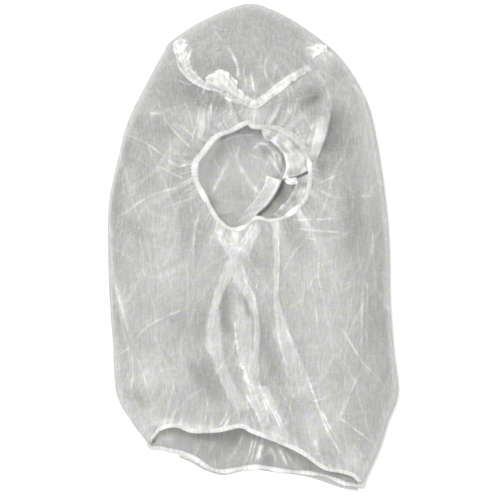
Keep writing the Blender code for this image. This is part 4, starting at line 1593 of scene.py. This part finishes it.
def amount_of_fibre_and_painted_light(tree, place_on, textures, base, crests, strands):
    """How much fibre lies at a point: its density, the creases and the textures, with the painted light
    and shade that the density carries. Also how much darker the colour gets where the amount falls below
    nothing: at thin places and as painted shade.
    """
    fibre, stray, grain, patches = textures
    amount = add_node(tree, "Attribute", attribute_name="fibre_and_painted_light").outputs["Fac"]
    lines = pressed_lines(tree, place_on, crest_lines(tree) if crests else 0.0)
    broken = ramp(tree, patches, 0.36, 0.64, low=0.25)
    amount = maths(tree, "MULTIPLY_ADD", lines, broken, amount)
    if strands:
        strips = strand_strips(tree, patches, broken)
        amount = maths(tree, "MULTIPLY_ADD", strips, mapped(tree, broken, 0.70, 1.0), amount)
    amount = maths(tree, "ADD", amount, base)
    # Below nothing the amount darkens the colour, down to 0.34: thin places and painted shade.
    thin_and_painted_shade = ramp(tree, amount, -0.9, 0.14, low=0.34)
    amount = maths(tree, "MAXIMUM", amount, 0.12)
    for texture, strength in ((fibre, 0.46), (stray, 0.22), (grain, 0.26)):
        amount = maths(tree, "MULTIPLY_ADD", maths(tree, "SUBTRACT", texture, 0.5), strength, amount)
    return maths(tree, "ADD", amount, 0.0, clamp=True), thin_and_painted_shade


def non_woven(name, thin, thick, cover, base=0.25, crests=True, strands=False):
    """Sheer web: colour and cover go from thin to thick with density, creases and fibres. The density also
    carries painted light and shade, and below nothing it darkens the colour.
    """
    made = bpy.data.materials.new(name)
    made.use_nodes = True
    tree = made.node_tree
    place_on = add_node(tree, "TexCoord").outputs["Object"]
    fibre = noise(tree, stretched(tree, place_on, (1.0, 0.10, 0.6), 0.0), FIBRE, 3.0, 0.6)
    stray = noise(tree, stretched(tree, place_on, (0.16, 1.0, 0.6), 0.6), STRAY)
    grain, patches = noise(tree, place_on, GRAIN), noise(tree, place_on, PATCHES)
    textures = (fibre, stray, grain, patches)
    amount, thin_and_painted_shade = amount_of_fibre_and_painted_light(tree, place_on, textures, base, crests, strands)

    tint = mixed(tree, mapped(tree, stray, -2.3, 3.7), (1.0, 0.993, 0.905, 1), (0.970, 0.957, 1.0, 1))
    # The tint is scaled down where the amount falls below nothing: painted shade, and thin places.
    tint = add_node(tree, "VectorMath", {0: tint, 3: thin_and_painted_shade}, operation="SCALE").outputs[0]
    colour = mixed(tree, 1.0, mixed(tree, amount, (*thin, 1), (*thick, 1)), tint, blend_type="MULTIPLY")

    bonds = {"Vector": place_on, "Scale": BONDS, "Randomness": 0.35}
    bond = add_node(tree, "TexVoronoi", bonds, feature="F1").outputs["Distance"]
    height = maths(tree, "MULTIPLY", maths(tree, "LESS_THAN", bond, 0.28), -0.2)
    for texture in (fibre, grain):
        height = maths(tree, "MULTIPLY_ADD", texture, 0.5, height)
    bump = add_node(tree, "Bump", {"Strength": 0.5, "Distance": 0.0005, "Height": height}).outputs[0]
    shader = tree.nodes["Principled BSDF"]
    shader.inputs["Specular IOR Level"].default_value = 0.3
    for result, socket in (
        (colour, "Base Color"),
        (mapped(tree, amount, *cover), "Alpha"),
        (mapped(tree, fibre, 0.55, 0.80), "Roughness"),
        (bump, "Normal"),
    ):
        tree.links.new(result, shader.inputs[socket])
    print(name, len(tree.nodes), "nodes")
    return made


# %% The four looks
SHEER = ((0.46, 0.46, 0.45), (0.92, 0.92, 0.915), (0.52, 0.94))  # colours and cover, thin and thick
# The back layer is the same cloth, painted lighter to lift the shade that the upper layer casts on it.
SHADE_LIFTED = ((0.56, 0.56, 0.547), (0.94, 0.94, 0.93), (0.54, 0.92))
GATHERED = ((0.50, 0.50, 0.49), (0.95, 0.95, 0.95), (0.55, 1.0))
cloth_look = non_woven("sheer non-woven", *SHEER, base=0.22, strands=True)
back_look = non_woven("sheer non-woven, back layer", *SHADE_LIFTED)
loose_look = non_woven("sheer non-woven, loose pieces", *SHEER, crests=False)
hem_look = non_woven("gathered non-woven", *GATHERED, base=0.15, crests=False)

# %% Give every piece its finish and its body
FINISHES = (
    (upper_cloth, cloth_look, "cloth"),
    (lower_cloth, back_look, "cloth"),
    (rolled_fold, loose_look, "cloth"),
    (upper_tuck, loose_look, "cloth"),
    (lower_tuck, loose_look, "cloth"),
    (lower_lip, loose_look, "cloth"),
    (seam_arch, loose_look, "cloth"),
    (seam_ridge, loose_look, "hem"),
    (face_hem, hem_look, "hem"),
    (neck_hem, hem_look, "hem"),
    (knot, hem_look, "hem"),
    (tufts[0], loose_look, "hem"),
    (tufts[1], loose_look, "hem"),
)
for piece, look, slot_name in FINISHES:
    piece.data.materials.append(look)
    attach(piece, "root")
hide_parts("hood_cloth")
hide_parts("face_hem")
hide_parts("neck_hem")
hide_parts("forehead_seam")
print(len(FINISHES), "pieces have their finish")

# %% [markdown]
# ## The sheets as cut
# Both layers are cut as flat panels, a little larger than they lie, because the elastics gather them.

# %% [markdown]
# ## Surface, light and camera
# The photograph shows a plain pale ground, soft light and hardly any shadow. A broad lamp at the upper
# left gives the folds their shape, and a bright even sky fills the rest. The camera looks straight down
# from far away, so that the puffed cloth isn't enlarged much.

# %% Pale ground
GROUND = 3.0
ground_mesh = bpy.data.meshes.new("ground")
ground_corners = [(x * GROUND, y * GROUND, 0.0) for x, y in ((-1, -1), (1, -1), (1, 1), (-1, 1))]
ground_mesh.from_pydata(ground_corners, [], [(0, 1, 2, 3)])
ground = bpy.data.objects.new("ground", ground_mesh)
bpy.context.scene.collection.objects.link(ground)
ground_look = bpy.data.materials.new("pale ground")
ground_look.use_nodes = True
ground_inputs = ground_look.node_tree.nodes["Principled BSDF"].inputs
GROUND_FINISH = {"Base Color": (0.93, 0.93, 0.92, 1), "Roughness": 0.9, "Specular IOR Level": 0.1}
for socket, value in GROUND_FINISH.items():
    ground_inputs[socket].default_value = value
ground_mesh.materials.append(ground_look)
ground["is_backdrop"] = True
print("ground", 2 * GROUND, "m wide")


# %% Lamps and sky
from mathutils import Vector


def soft_lamp(name, where, size, power):
    """A square lamp that faces the middle of the hood."""
    lamp = bpy.data.lights.new(name, "AREA")
    lamp.size = size
    lamp.energy = power
    made = bpy.data.objects.new(name, lamp)
    made.location = where
    made.rotation_mode = "QUATERNION"
    made.rotation_quaternion = (-Vector(where)).to_track_quat("-Z", "Y")
    bpy.context.scene.collection.objects.link(made)
    return made


soft_lamp("upper left lamp", where=(-0.7, 0.6, 1.9), size=0.7, power=19.0)
sky = bpy.data.worlds.new("even sky")
sky.use_nodes = True
for socket, value in (("Color", (1.0, 1.0, 1.0, 1.0)), ("Strength", 0.95)):
    sky.node_tree.nodes["Background"].inputs[socket].default_value = value
bpy.context.scene.world = sky
bpy.context.scene.view_settings.view_transform = "Standard"

# %% Camera
FRAME_SIZE = 493.3 * MM  # what the picture shows across, at the side fold
CAMERA_HEIGHT = 3.0
FRAME_CENTRE = (-2.2 * MM, -2.7 * MM)
SENSOR = 36.0
camera_data = bpy.data.cameras.new("camera")
camera_data.sensor_width = SENSOR
camera_data.lens = SENSOR * (CAMERA_HEIGHT - SIDE_FOLD / 2) / FRAME_SIZE
camera = bpy.data.objects.new("camera", camera_data)
camera.location = (*FRAME_CENTRE, CAMERA_HEIGHT)
bpy.context.scene.collection.objects.link(camera)
bpy.context.scene.camera = camera
print("lens", camera_data.lens, "mm, seen from", CAMERA_HEIGHT, "m")
